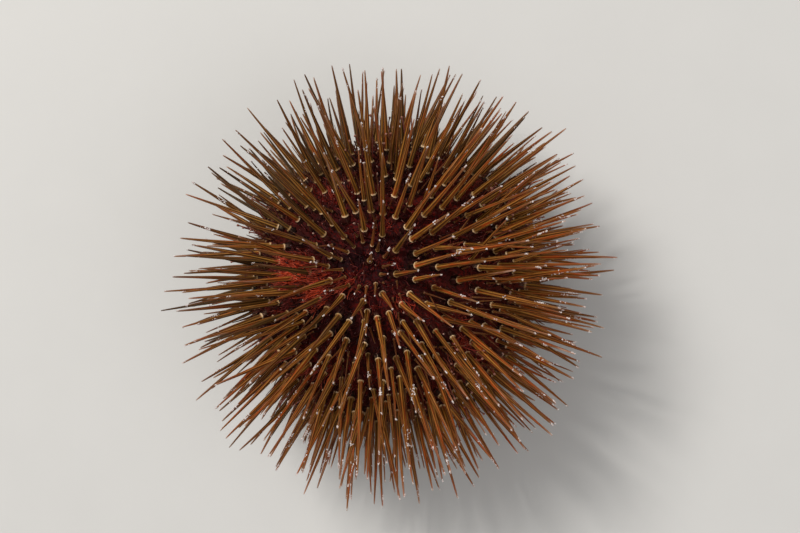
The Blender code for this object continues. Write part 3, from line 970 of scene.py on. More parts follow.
def add_mesh(name, points, faces, look, values, corners):
    """A smooth mesh object from arrays, with named values at its points and its OFBake map."""
    mesh = bpy.data.meshes.new(name)
    moved = np.asarray(points).reshape(-1, 3) + axis()
    mesh.vertices.add(len(moved))
    mesh.vertices.foreach_set("co", moved.ravel())
    loops = np.concatenate([part.ravel() for part in faces])
    mesh.loops.add(len(loops))
    mesh.loops.foreach_set("vertex_index", loops)
    sizes = np.concatenate([np.full(len(part), part.shape[1]) for part in faces])
    mesh.polygons.add(len(sizes))
    mesh.polygons.foreach_set("loop_start", np.cumsum(sizes) - sizes)
    mesh.polygons.foreach_set("use_smooth", np.ones(len(sizes), dtype=bool))
    mesh.update(calc_edges=True)
    for key, value in values.items():
        vector = np.size(value) == 3 * len(moved)
        kind, field = ("FLOAT_VECTOR", "vector") if vector else ("FLOAT", "value")
        attribute = mesh.attributes.new(key, kind, "POINT")
        attribute.data.foreach_set(field, np.asarray(value, dtype=float).ravel())
    mesh.uv_layers.new(name="OFBake").uv.foreach_set("vector", corners.ravel())
    mesh.materials.append(look)
    return add_object(name, mesh)


def spread(values, shape):
    """Values for each tube, or for each tube and ring, repeated over all its points."""
    values = np.asarray(values, dtype=float)
    if values.ndim > len(shape):
        return values
    return np.broadcast_to(values.reshape(values.shape + (1,) * (len(shape) - values.ndim)), shape)


def add_tubes(name, centres, radii, look, values, spots):
    """One object of many closed tubes, with values for each tube, ring or point."""
    shape = radii.shape
    values = {key: spread(value, shape) for key, value in values.items()}
    corners = patch_corners(spots, *shape[1:])
    return add_mesh(name, tube_points(centres, radii), tube_faces(*shape), look, values, corners)


def waves(points, scale, seed):
    """Smooth noise from -1 to 1 at points, from sums of sines in seeded directions."""
    rng = np.random.default_rng(seed)
    total = np.zeros(points.shape[:-1])
    for octave in WAVE_OCTAVES:
        for _ in range(WAVES_EACH):
            way = unit(rng.normal(0, 1, 3))
            phase = rng.uniform(0, WAVE_PHASES)
            total += np.sin((points @ way) * octave * 2 * math.pi / scale + phase) / octave
    return total / WAVES_EACH


def grain_at(points, grain):
    """Smooth noise of a (height, width, seed)."""
    height, width, seed = grain
    return height * waves(points, width, seed)


def redness(points):
    """How red the skin and what grows on it is: in patches, and most left of the vent."""
    red = RED_LEAST + RED_LEE * lee(np.arctan2(points[..., 1], points[..., 0]))
    for wave in RED_WAVES:
        red = red + grain_at(points, wave)
    for place, reach, strength in RED_PATCHES:
        red = red + strength * bump_at(np.linalg.norm(points - np.array(place), axis=-1), reach)
    return np.clip(red, 0, 1)


# Spines.


def shaft_radius(share):
    """The radius of a shaft of usual thickness at a share of its length."""
    return np.interp(share, SHAFT_SHARES, SHAFT_RADII) / 1000


def shaft_profile(lengths, thick, full, step):
    """Distances, radii, and muscle, ring and along values for spines: (spines, rings) arrays.

    A step of 2 leaves out every second ring.
    """
    foot = np.array(SPINE_FOOT)[::step]
    shares = np.array(SHAFT_SHARES[1:])[step - 1 :: step]
    scale = thick[:, None]
    lift = (1 - FOOT_STRETCH) + FOOT_STRETCH * scale
    start = foot[-1, 0] * lift
    shaft = start + (lengths[:, None] - start) * shares
    distance = np.concatenate([foot[:, 0] * lift, shaft], axis=1)
    cut = np.clip(lengths / full, 0, 1)[:, None]
    radius = np.concatenate([foot[:, 1] * scale, shaft_radius(shares * cut) * scale], axis=1)
    marks = np.zeros((2, *distance.shape))
    marks[:, :, : len(foot)] = foot.T[2:, None]
    muscle, ring = marks
    ring *= np.clip(RING_RISE * thick - RING_DROP, RING_LEAST, 1)[:, None]
    return distance, radius, muscle, ring, np.clip(distance / full[:, None], 0, 1)


def bent_lines(side, roots, along, distance, bend):
    """Centre lines that bend a little to one side."""
    sideways = unit(np.cross(along, side))
    share = np.clip(distance / distance[:, -1:], 0, 1)
    bow = bend[:, None] * 4 * share * (1 - share)
    return roots[:, None] + along[:, None] * distance[..., None] + sideways[:, None] * bow[..., None]


def add_spines(name, spines, look, rng, sides=SPINE_SIDES, step=1):
    """One object of spines, each with its muscle, milled ring, ribbed shaft and drawn-out tip."""
    roots, ways, lengths, full, thick = columns(spines, "root", "along", "reach", "length", "thick")
    angles, turns, stands = columns(spines, "angle", "turn", "stands")
    distance, radius, muscle, ring, along = shaft_profile(lengths, thick, full, step)
    shape = (*distance.shape, sides)
    count = len(spines)
    bend = BEND / step * rng.uniform(*BEND_SHARES, count)
    centres = bent_lines(rng.normal(0, 1, ways.shape), roots, ways, distance, bend)
    ridge = np.where(np.arange(sides) % 2 == 0, 1.0, -1.0)
    depth = RIB_DEPTH * (1 - ring) + RING_TEETH_DEPTH * ring
    radii = radius[..., None] * (1 + depth[..., None] * ridge)
    round_shaft = even_turns(sides)
    phase = rng.uniform(0, 2 * math.pi, count)[:, None] + STRIPE_TWIST * distance
    streaks = round_axis(STREAK_WIDTH, round_shaft, STREAK_RATE * distance[..., None])
    offset = rng.uniform(0, STREAK_OFFSET, (count, 3))
    # How far a spine points along that way: orange and lighter that way, darker olive away from it, the
    # darkness partly painted shade.
    warm_and_lit = 0.5 + 0.5 * ways @ np.array(WARM_AND_LIT_WAY) + rng.normal(0, WARM_AND_LIT_SPREAD, count)
    values = {
        "along": along,
        "muscle": muscle,
        "ring": ring,
        "around": round_axis(1.0, round_shaft, phase[..., None]),
        "tone": rng.uniform(0, 1, count),
        "small": np.clip((SMALL_THICKNESS - thick) / SMALL_BLEND, 0, 1),
        "warm_and_lit": np.clip(warm_and_lit, 0, 1),
        "red": redness(roots),
        "fibre": streaks + offset[:, None, None],
    }
    made = add_tubes(name, centres, radii, look, values, unwrap(angles, turns))
    if stands.any():
        level_feet(made, stands, shape)
    return made


def level_feet(made, stands, shape):
    """Slides the end rings of the spines that stand on the floor to z = 0, each along its side."""
    flat = np.empty(len(made.data.vertices) * 3)
    made.data.vertices.foreach_get("co", flat)
    points = flat.reshape(*shape, 3)
    before = points[stands, -3]
    last = points[stands, -1]
    drop = before[..., 2] / (before[..., 2] - last[..., 2])
    ends = before + (last - before) * drop[..., None]
    ends[..., 2] = 0.0
    points[stands, -1] = ends
    points[stands, -2] = before + (ends - before) * LEVEL_SHARE
    made.data.vertices.foreach_set("co", points.ravel())
    made.data.update()


# Fine spines, threads, tube feet, pincers and growth.


def soft_values(shares, tone, roots):
    """The values that soft tubes carry: how far along, a tone, and redness."""
    along = np.tile(np.clip(shares, 0, 1), (len(roots), 1))
    return {"along": along, "tone": tone, "red": redness(roots)}


def draw(rng, kind, places):
    """What varies among the forms of a kind, as arrays with a number or a direction for each."""
    count = len(places[0])
    drawn = {}
    for key, size in kind["draws"].items():
        if isinstance(size, tuple):
            drawn[key] = rng.uniform(*size, count)
        else:
            drawn[key] = rng.normal(0, size, (count, 3))
    return drawn


def add_soft(name, kind, places, centres, drawn, look, rim=1.0):
    """One object of soft tubes with the kind's profile. rim is a shape for each ring and side."""
    roots, angles, turns = places
    shape = (len(roots), len(kind["shares"]), kind["sides"])
    radii = drawn["radius"][:, None, None] * np.array(kind["profile"])[:, None] * rim
    values = soft_values(kind["shares"], drawn["tone"], roots)
    spots = unwrap(angles, turns)
    return add_tubes(name, centres, np.broadcast_to(radii, shape), look, values, spots)


def add_bent(name, kind, places, along, drawn, look, rim=1.0):
    """Soft tubes that bend a little to one side."""
    distance = drawn["length"][:, None] * kind["shares"]
    centres = bent_lines(drawn["side"], places[0], along, distance, drawn["bend"])
    return add_soft(name, kind, places, centres, drawn, look, rim)


def add_fine_spines(places, look, rng):
    """Fine short spines that cover the skin between the others."""
    drawn = draw(rng, FINE_SPINES, places)
    normals = surface_normals(*places[1:])
    along = unit(normals + drawn["stray"])
    inward = (along * normals).sum(1) < FINE_UPRIGHT
    along[inward] = normals[inward]
    return add_bent("fine_spines", FINE_SPINES, places, along, drawn, look)


def scatter(rng, count, least_red):
    """Random roots, angles and turns where the skin is at least this red, however near each other."""
    angles, share = outline_by_area()
    tries = count if least_red == 0 else RED_TRIES * count
    angle = np.interp(rng.uniform(0, 1, tries), share, angles)
    turn = rng.uniform(0, 2 * math.pi, tries)
    radius, height = np.array([test_point(a) for a in angle]).T
    roots = round_axis(radius, turn, np.minimum(height, rim_z()))
    here = np.nonzero(redness(roots) >= least_red)[0][:count]
    return roots[here], angle[here], turn[here]


def bundles(angles, turns):
    """Smooth noise that changes across the threads faster than along them."""
    places = BUNDLE_RADIUS * round_axis(1, turns, BUNDLE_STRETCH * angles)
    return waves(places, BUNDLE_WIDTH, BUNDLE_SEED)


def add_fibres(name, kind, look, rng):
    """Thin threads that lie over the skin and lean away from the vent, longest where it is red."""
    places = scatter(rng, kind["count"], kind["least_red"])
    roots, angles, turns = places
    drawn = draw(rng, kind, places)
    normals = surface_normals(angles, turns)
    down = np.cross(round_axis(1, turns + math.pi / 2, 0), normals)
    along = unit(normals * drawn["lift"][:, None] + down * FIBRE_LEAN + drawn["stray"])
    drawn["length"] *= FIBRE_LENGTH + FIBRE_LENGTH_RED * redness(roots)
    drawn["bend"] *= drawn["length"]
    drawn["tone"] = np.clip(drawn["tone"] + BUNDLE_SHARE * bundles(angles, turns), 0, 1)
    return add_bent(name, kind, places, along, drawn, look)


def add_tube_feet(places, look, rng):
    """Long soft tube feet that reach out between the spines and end in sucking discs."""
    drawn = draw(rng, FEET, places)
    length, curl, wave = [drawn[key][:, None, None] for key in ("length", "curl", "wave")]
    way = unit(surface_normals(*places[1:]) + drawn["stray"])
    side = unit(np.cross(way, drawn["side"]))
    other = np.cross(way, side)
    share = np.array(FEET["shares"])[:, None]
    centres = places[0][:, None] + way[:, None] * length * share
    centres += side[:, None] * (length * curl) * share**2
    centres += other[:, None] * (length * wave) * np.sin(FEET_WAVE_RATE * share)
    centres[..., 2] = np.maximum(centres[..., 2], FEET_LOWEST)
    return add_soft("tube_feet", FEET, places, centres, drawn, look)


def add_pincers(places, look, rng):
    """Pedicellariae: thin stalks that end in small three-jawed heads."""
    drawn = draw(rng, PINCERS, places)
    way = unit(surface_normals(*places[1:]) + drawn["stray"])
    lobes = np.cos(JAWS * even_turns(PINCERS["sides"]))
    head = np.array(PINCERS["shares"])[:, None] > JAWS_FROM
    return add_bent("pincers", PINCERS, places, way, drawn, look, 1 + JAW_DEPTH * lobes * head)


def clusters(spine, rng):
    """(share of the length, spread, number of specks) of each cluster of growth on a spine."""
    found = []
    near = lee(spine["turn"])
    for chance, base, more, places, width, numbers in CLUSTERS:
        if rng.uniform() < chance * (base + more * near):
            where = rng.uniform(*places) if len(places) == 2 else places[0]
            found.append((where, width, rng.integers(*numbers)))
    return found


def add_growth(spines, look, rng):
    """Pale specks of growth that sit in clusters on the shafts and tips of the spines."""
    centres = []
    radii = []
    roots = []
    for spine in spines:
        if spine["stands"]:
            continue
        for where, width, number in clusters(spine, rng):
            face = np.cross(spine["along"], rng.normal(0, 1, 3))
            for _ in range(number):
                share = min(max(where + rng.normal(0, width), SPECK_AT[0]), SPECK_AT[1])
                around = unit(face + SPECK_STRAY * np.cross(spine["along"], rng.normal(0, 1, 3)))
                middle = spine["root"] + spine["along"] * spine["reach"] * share
                out = shaft_radius(share) * spine["thick"] * rng.uniform(*SPECK_OUT)
                middle = middle + around * out
                size = rng.uniform(*SPECK_SIZE)
                lie = unit(spine["along"] + rng.normal(0, SPECK_STRAY, 3))
                lie *= rng.uniform(*SPECK_STRETCH) * size
                centres.append([middle + lie * t for t in SPECK_SHARES])
                lumps = rng.uniform(*SPECK_LUMPS, (len(SPECK_SHARES), SPECK_SIDES))
                radii.append(size * lumps * np.array(SPECK_RADII)[:, None])
                roots.append((spine["angle"], spine["turn"]))
    values = {"tone": rng.uniform(0, 1, len(roots))}
    spots = unwrap(*np.array(roots).T)
    return add_tubes("growth", np.array(centres), np.array(radii), look, values, spots)


# Skin and plates: turned surfaces with relief.


def even_rows(points, count):
    """A line of (radius, z) points divided again into evenly long steps."""
    points = np.asarray(points, dtype=float)
    run = running(step_lengths(points))
    at = np.linspace(0, run[-1], count)
    return np.stack([np.interp(at, run, points[:, 0]), np.interp(at, run, points[:, 1])], axis=1)


def turned(rows, steps=SKIN_TURN_STEPS):
    """Points and turns of rows of (radius, z) about the axis, clockwise seen from above."""
    turns = -even_turns(steps)
    points = round_axis(rows[:, :1], turns, rows[:, 1:])
    return points, np.broadcast_to(turns, (len(rows), steps))


def add_turned(name, rows, relief, look, shown, red=1.0):
    """A closed turned surface whose rows run from the top of the axis to its bottom.

    relief is how far each point stands out, shown is what the material reads as its relief, and
    red is a share of the usual redness.
    """
    points, turns = turned(rows, relief.shape[1])
    slope = np.gradient(rows, axis=0)
    slope /= np.maximum(np.linalg.norm(slope, axis=1), 1e-12)[:, None]
    out = round_axis(-slope[:, 1:], turns, slope[:, :1])
    values = {"red": redness(points) * red, "relief": shown}
    faces = tube_faces(1, *turns.shape)
    spots = on_map(np.linspace(UNWRAP_HOLE, UNWRAP_REACH, len(rows))[:, None], turns).reshape(-1, 2)
    corners = spots[np.concatenate([part.ravel() for part in faces])]
    return add_mesh(name, points + out * relief[..., None], faces, look, values, corners)


def bosses(points, roots, size):
    """Low round bosses of (reach, height) at the roots."""
    reach, height = size
    flat = points.reshape(-1, 3)
    relief = np.zeros(len(flat))
    chunk = 3000
    for begin in range(0, len(flat), chunk):
        part = flat[begin : begin + chunk]
        far = (np.sum((part[:, None] - roots[None]) ** 2, axis=2)).min(axis=1) / reach**2
        relief[begin : begin + chunk] = np.where(far < 1, (1 - far) ** 2, 0) * height
    return relief.reshape(points.shape[:-1])


def add_test_skin(roots, small_roots, look):
    """The one skin over the whole test, with a boss under each spine."""
    line = even_rows(outline(APICAL_RADIUS, PERISTOME_RADIUS, SKIN_SAMPLES)[1], SKIN_ROWS)
    slope = unit(np.gradient(line, axis=0))
    line = line + SKIN_SINK * np.stack([slope[:, 1], -slope[:, 0]], axis=1)
    seat = rim_z() - APICAL_DEPTH
    ceiling = mouth_z() + PERISTOME_DEPTH
    (top_radius, top), (low_radius, low) = line[0], line[-1]
    above = [(AXIS_HOLE, seat), (top_radius, seat), (top_radius, top - EDGE_ROUNDING)]
    below = [(low_radius, low + EDGE_ROUNDING), (low_radius, ceiling), (AXIS_HOLE, ceiling)]
    rows = np.concatenate([above, line, below])
    points, _ = turned(rows)
    relief = np.maximum(bosses(points, roots, BOSS), bosses(points, small_roots, SMALL_BOSS))
    relief += grain_at(points, SKIN_GRAIN)
    relief[:3] = 0
    relief[-3:] = 0
    return add_turned("test_skin", rows, relief, look, relief / BOSS[1])


def cell_lines(points, centres):
    """How near each point is to the border between the cells about the centres, in metres."""
    far = np.linalg.norm(points[..., None, :2] - centres, axis=3)
    far.sort(axis=-1)
    return (far[..., 1] - far[..., 0]) / 2


def vent_scales(rng):
    """Centres of the scales of the periproct, in three rings round the vent."""
    centres = [(0.0, 0.0)]
    for radius, count in VENT_RINGS:
        for k in range(count):
            turn = 2 * math.pi * (k + rng.uniform(-VENT_SCALE_JITTER, VENT_SCALE_JITTER)) / count
            centres.append((radius * math.cos(turn), radius * math.sin(turn)))
    return np.array(centres)


def plate_lines(radius, turn):
    """(distance to the nearest suture, pore depth) on the ring of genital and ocular plates."""
    off = (turn - FIRST_RAY) % RAY_ANGLE - RAY_ANGLE / 2
    border = (RAY_ANGLE / 2 - np.abs(off)) * radius
    middle, reach = OCULAR_PLATE
    ocular = np.abs(np.hypot(border, radius - middle) - reach)
    inside = (border < reach) & (radius > OCULAR_FROM)
    suture = np.where(inside, ocular, np.minimum(border, ocular))
    genital_pore = bump_at(np.hypot(off * radius, radius - GENITAL_PORE[0]), GENITAL_PORE[1])
    ocular_pore = bump_at(np.hypot(border, radius - OCULAR_PORE[0]), OCULAR_PORE[1])
    return suture, genital_pore + OCULAR_PORE_SHARE * ocular_pore


def add_vent_plates(roots, look, rng):
    """The genital and ocular plates, the swollen madreporite, and the scales round the vent."""
    low = rim_z() - APICAL_DEPTH + CUT_GAP
    crown = rim_z() - PLATES_SINK
    top = even_rows(np.array(PLATES_LINE) + (0, crown), PLATES_ROWS)
    below = [(PLATES_RADIUS, crown - 2 * EDGE_ROUNDING), (PLATES_RADIUS, low), (AXIS_HOLE, low)]
    rows = np.concatenate([top, below])
    points, turns = turned(rows)
    radius = np.hypot(points[..., 0], points[..., 1])
    inside = radius < PERIPROCT_RADIUS
    cells = cell_lines(points, vent_scales(rng))
    suture, pores = plate_lines(radius, turns)
    groove = bump_at(np.where(inside, cells, suture), np.where(inside, SCALE_GROOVE, PLATE_GROOVE))
    swollen = on_circle(MADREPORITE[0], FIRST_RAY + RAY_ANGLE / 2, crown)
    sieve = np.exp(-((np.linalg.norm(points - swollen, axis=2) / MADREPORITE[1]) ** 4))
    relief = -GROOVE_DEPTH * groove - np.where(inside, 0, PORE_DEPTH * pores)
    relief += sieve * (MADREPORITE_SWELL + grain_at(points, MADREPORITE_GRAIN))
    relief += bosses(points, roots, APICAL_BOSS)
    relief -= VENT[1] * bump_at(radius, VENT[0])
    relief[-3:] = 0
    shown = 0.5 - 0.5 * groove + MADREPORITE_SHOWN * sieve
    return add_turned("vent_plates", rows, relief, look, shown)


def folds(points, turns, size):
    """Radial folds that wander a little."""
    number, depth, wandering = size
    return depth * np.cos(number * turns + grain_at(points, wandering))


def add_mouth_skin(look):
    """The soft peristome with radial folds, its swollen lip, and the dark inside of the mouth."""
    edge = mouth_z()
    ceiling = edge + PERISTOME_DEPTH - CUT_GAP
    rounded = edge + MEMBRANE_SINK + CUT_GAP
    above = [(AXIS_HOLE, ceiling), (MOUTH_OUTER, ceiling), (MOUTH_OUTER, rounded)]
    rows = np.concatenate([above, even_rows(np.array(MOUTH_LINE) + (0, edge), MOUTH_ROWS)])
    points, turns = turned(rows)
    radius = np.hypot(points[..., 0], points[..., 1])
    lip = bump_at(radius - LIP[0], LIP[1])
    folded = folds(points, turns, LIP_FOLDS) * lip + folds(points, turns, SKIN_FOLDS) * (1 - lip)
    relief = folded + grain_at(points, MOUTH_GRAIN)
    relief[:3] = 0
    relief[-1] = 0
    shown = 0.5 + folded / FOLDS_SHOWN
    return add_turned("mouth_skin", rows, relief, look, shown, MOUTH_REDNESS)


def add_pegs(name, pegs, sides, look, rng):
    """One object of soft tubes round the mouth, from (start, way, length, radii) rows."""
    shares = np.linspace(0, 1, len(pegs[0][3]))
    starts = np.array([peg[0] for peg in pegs])
    ways = np.array([unit(peg[1]) * peg[2] for peg in pegs])
    centres = starts[:, None] + ways[:, None] * shares[:, None]
    radii = spread([peg[3] for peg in pegs], (*centres.shape[:2], sides))
    values = soft_values(shares, rng.uniform(0, 1, len(pegs)), starts)
    reach = np.hypot(starts[:, 0], starts[:, 1]) / PERISTOME_RADIUS * UNWRAP_REACH
    spots = on_map(reach, np.arctan2(starts[:, 1], starts[:, 0]))
    return add_tubes(name, centres, radii, look, values, spots)


def add_buccal_feet(look, rng):
    """Ten short tube feet round the mouth, each with a waist and a broad disc."""
    profile = curve(BUCCAL_PROFILE, np.linspace(0, 1, BUCCAL_RINGS)) / 1000
    pegs = []
    for _, ambulacral, _ in rays():
        for side in (-1, 1):
            turn = ambulacral + side * BUCCAL_TURN
            way = on_circle(BUCCAL_LEAN, turn, -1.0) + rng.normal(0, BUCCAL_STRAY, 3)
            start = on_circle(BUCCAL_RADIUS, turn, mouth_z() + MEMBRANE_SINK + CUT_GAP)
            pegs.append((start, way, BUCCAL_LENGTH, profile))
    return add_pegs("buccal_feet", pegs, BUCCAL_SIDES, look, rng)


def add_gills(look, rng):
    """Ten bushy gills at the edge of the peristome, each of many fine filaments."""
    profile = np.array(GILL_PROFILE) / 1000
    down = np.array([0, 0, -1.0])
    pegs = []
    for _, _, interambulacral in rays():
        for side in (-1, 1):
            turn = interambulacral + side * GILL_TURN
            start = on_circle(GILL_RADIUS, turn, mouth_z() + MEMBRANE_SINK + GILL_SINK)
            pegs.append((start, down, GILL_LENGTH, profile * GILL_TRUNK))
            for _ in range(FILAMENTS):
                level = rng.uniform(*FILAMENT_LEVELS)
                way = rng.normal(0, FILAMENT_STRAY, 3) + down + on_circle(FILAMENT_LEAN, turn, 0)
                way[2] = min(way[2], FILAMENT_FLATTEST)
                begin = start + down * FILAMENT_REACH * level
                pegs.append((begin, way, rng.uniform(*FILAMENT_LENGTH), profile))
    return add_pegs("gills", pegs, GILL_SIDES, look, rng)


def add_lantern_tip(look):
    """The tips of the five jaws, which close round the teeth."""
    edge = mouth_z()
    top = edge + PERISTOME_DEPTH - CUT_GAP
    line = even_rows(np.array(LANTERN_LINE) + (0, edge), LANTERN_ROWS)
    rows = np.concatenate([[(AXIS_HOLE, top), (LANTERN_LINE[0][0], top)], line])
    points, turns = turned(rows, LANTERN_STEPS)
    lobes = np.cos(RAYS * (turns - FIRST_RAY - RAY_ANGLE / 2))
    below = np.clip((edge + LANTERN_LINE[0][1] - points[..., 2]) / LOBES_BELOW, 0, 1)
    outside = np.clip((points[..., 0] ** 2 + points[..., 1] ** 2) / LOBES_BEYOND**2, 0, 1)
    relief = below * (LOBE_DEPTH * lobes - LOBE_SINK) * outside
    return add_turned("lantern_tip", rows, relief, look, 0.5 + 0.5 * lobes, 0)


def add_teeth(look):
    """Five chisel-shaped teeth that lean together under the mouth."""
    at = np.linspace(0, 1, TOOTH_RINGS)
    radius = curve(TOOTH_RADIUS, at)
    height = mouth_z() - curve(TOOTH_DEPTH, at)
    turns = even_turns(TOOTH_SIDES)
    cosine, sine = np.cos(turns), np.sin(turns)
    keel = np.where(sine < 0, 1 - TOOTH_KEEL * np.abs(sine), 1.0)
    square = np.sign(cosine) * np.abs(cosine) ** TOOTH_SQUARENESS
    wide = curve(TOOTH_WIDTH, at)[:, None] * square * keel
    lens = TOOTH_INNER * np.where(sine > 0, TOOTH_OUTER * sine, sine)
    deep = curve(TOOTH_THICKNESS, at)[:, None] * lens
    teeth = []
    for _, _, middle in rays():
        out = on_circle(1.0, middle, 0)
        side = on_circle(1.0, middle + math.pi / 2, 0)
        line = out * radius[:, None] + np.array([0, 0, 1.0]) * height[:, None]
        teeth.append(line[:, None] + side * wide[..., None] + out * deep[..., None])
    points = np.array(teeth)
    shape = points.shape[:3]
    first, apart = TOOTH_SPOTS
    spots = np.stack([first + apart * np.arange(RAYS), np.full(RAYS, 0.5)], axis=1)
    values = {"along": spread(np.tile(at, (RAYS, 1)), shape)}
    corners = patch_corners(spots, *shape[1:])
    return add_mesh("teeth", points, tube_faces(*shape), look, values, corners)


# Materials.


class Look:
    """One material, built up node by node.

    An input takes a number, a colour of three screen levels, the name of a value that the points
    carry, or another node's output.
    """

    def __init__(self, name, **settings):
        self.material = bpy.data.materials.new(name)
        self.material.use_nodes = True
        self.shader = self.material.node_tree.nodes["Principled BSDF"]
        for key, value in settings.items():
            self.shader.inputs[key.replace("_", " ")].default_value = value

    def feed(self, socket, value):
        if isinstance(value, str):
            value = self.value(value)
        if isinstance(value, (int, float)):
            socket.default_value = value
        elif isinstance(value, tuple):
            socket.default_value = (*linear(value), 1.0)
        else:
            self.material.node_tree.links.new(value, socket)

    def node(self, kind, inputs=(), **settings):
        made = self.material.node_tree.nodes.new(f"ShaderNode{kind}")
        for key, value in settings.items():
            setattr(made, key, value)
        for key, value in dict(inputs).items():
            self.feed(made.inputs[key], value)
        return made

    def value(self, name, output="Fac"):
        return self.node("Attribute", attribute_name=name).outputs[output]

    def place(self):
        return self.node("TexCoord").outputs["Object"]

    def flank(self):
        """How far down the side a point is: 0 near the top, 1 from the widest part down."""
        height = self.node("SeparateXYZ", {0: self.place()}).outputs[2]
        return self.band(height, FLANK_TOP, FLANK_LOW)

    def noise(self, where, scale, detail=3.0):
        inputs = {"Scale": scale, "Detail": detail, "Roughness": NOISE_ROUGHNESS, "Vector": where}
        return self.node("TexNoise", inputs).outputs["Fac"]

    def cells(self, where, scale):
        return self.node("TexVoronoi", {"Scale": scale, "Vector": where}).outputs["Distance"]

    def ramp(self, factor, stops):
        node = self.node("ValToRGB", {"Fac": factor})
        marks = node.color_ramp.elements
        while len(marks) < len(stops):
            marks.new(0.5)
        for mark, (position, colour) in zip(marks, stops):
            mark.position = position
            mark.color = (*linear(colour), 1.0)
        return node.outputs["Color"]

    def band(self, factor, low, high, bottom=0.0, top=1.0):
        """A number that goes from bottom to top as factor goes from low to high."""
        keys = ("Value", "From Min", "From Max", "To Min", "To Max")
        inputs = zip(keys, (factor, low, high, bottom, top))
        return self.node("MapRange", inputs).outputs["Result"]

    def math(self, operation, *values):
        return self.node("Math", enumerate(values), operation=operation).outputs["Value"]

    def times(self, one, two):
        return self.math("MULTIPLY", one, two)

    def plus(self, one, two):
        return self.math("ADD", one, two)

    def stripes(self, around, number):
        """A wave from -1 to 1 round a shaft, from its (cosine, sine, phase) values."""
        cosine, sine, phase = self.node("SeparateXYZ", {0: around}).outputs
        turn = self.times(self.math("ARCTAN2", sine, cosine), number)
        return self.math("SINE", self.plus(turn, phase))

    def mix(self, factor, one, two):
        node = self.node("Mix", data_type="RGBA")
        self.feed(node.inputs["Factor"], factor)
        colours = [socket for socket in node.inputs if socket.type == "RGBA"]
        for socket, colour in zip(colours, (one, two)):
            self.feed(socket, colour)
        return next(socket for socket in node.outputs if socket.type == "RGBA")

    def layers(self, colour, *layers):
        """Lays colours over one another, each by its own factor."""
        for factor, over in layers:
            colour = self.mix(factor, colour, over)
        return colour

    def finish(self, colour, grain, rough, bump=None, strength=0.4, height=None):
        """Joins the colour, a roughness that follows the grain, and a bump of this depth."""
        self.feed(self.shader.inputs["Base Color"], colour)
        self.feed(self.shader.inputs["Roughness"], self.band(grain, *GRAIN_RANGE, *rough))
        if bump is not None:
            height = grain if height is None else height
            inputs = {"Distance": bump, "Strength": strength, "Height": height}
            normal = self.node("Bump", inputs).outputs["Normal"]
            self.feed(self.shader.inputs["Normal"], normal)
        return self.material

    def finish_soft(self, colour, scale, rough, bump):
        """Joins the colour and a fine grain of its own."""
        return self.finish(colour, self.noise(self.place(), scale, 2.0), rough, bump)


def spine_look():
    """Olive to orange-brown shafts, cream rings and pale tips, with painted highlight on golden ridges
    and painted shade in dark grooves and on olive spines.
    """
    look = Look("spine", **SPINE_GLOSS)
    fibre = look.value("fibre", "Vector")
    streaks = look.noise(fibre, 2.6, 4.0)
    # Olive away from that way and orange towards it; the darker olive is partly painted shade.
    shaft = look.mix("warm_and_lit", look.ramp("along", OLIVE_SHAFT), look.ramp("along", ORANGE_SHAFT))
    stripes = look.stripes(look.value("around", "Vector"), STRIPES)
    wave = look.plus(stripes, look.band(streaks, *GRAIN_RANGE, -0.5, 0.5))
    # The grooves, where the bump sinks, are painted darker: painted shade, partly the shaft's own dark
    # stripes.
    groove = look.times(look.band(wave, 0.15, -0.45), look.band("along", 0.0, 0.35, 0.62, 0.85))
    # The ridges, where the bump rises, are painted golden: painted highlight, partly the shaft's own
    # golden stripes.
    ridge = look.times(look.band(wave, 0.45, 0.85), look.band("along", 0.9, 0.3, 0.25, 0.55))
    # Orange-red mottle: partly the shaft's own colour, partly painted highlight.
    mottle_and_highlight = look.band(look.noise(fibre, 1.7), 0.52, 0.66)
    # Pale streaks on the outer shaft: partly frosting, partly painted highlight.
    pale = look.times(look.band(look.noise(fibre, 1.3, 2.0), 0.60, 0.74), look.band("along", 0.35, 0.95))
    # Painted shade: a random share of the spines on the olive side is darkened as if it stood in shadow.
    painted_shade = look.times(look.band("tone", 0.65, 0.05), look.band("warm_and_lit", 0.75, 0.25, 0.25, 0.85))
    groove_shade_colour = look.mix("warm_and_lit", *GROOVE_SHADE_COLOURS)
    ringed = look.mix(look.band("tone", 0.3, 0.8), *RING_COLOURS)
    shaft = look.layers(
        shaft,
        (look.band(look.noise(fibre, 0.9, 2.0), 0.50, 0.62, 0.0, 0.55), SHAFT_GOLDEN),
        (look.band(look.noise(fibre, 1.1, 2.0), 0.46, 0.36, 0.0, 0.35), SHAFT_ASHEN),
        # Redder where the skin is red: partly own tint, partly painted reflection of the red skin.
        (look.band("red", 0.18, 0.7, 0.0, 0.35), SHAFT_RED),
        (look.times(groove, look.band("along", 0.95, 0.6, 0.2, 1.0)), groove_shade_colour),
        (ridge, RIDGE_HIGHLIGHT),
        (look.times(mottle_and_highlight, look.band("warm_and_lit", 0.2, 0.9, 0.45, 0.85)), SHAFT_RUST_AND_HIGHLIGHT),
        (look.times(pale, 0.72), SHAFT_FROST_AND_HIGHLIGHT),
        (painted_shade, SHAFT_PAINTED_SHADE),
        (look.times("small", 0.6), SHAFT_SMALL),
        (look.band("ring", 0.1, 0.9), ringed),
    )
    muscle = look.ramp(streaks, MUSCLE_STOPS)
    muscle = look.mix(look.times("red", 0.5), muscle, MUSCLE_RED)
    colour = look.mix(look.band("muscle", 0.2, 0.8), shaft, muscle)
    return look.finish(colour, streaks, (0.28, 0.5), 0.00008, 0.6, wave)


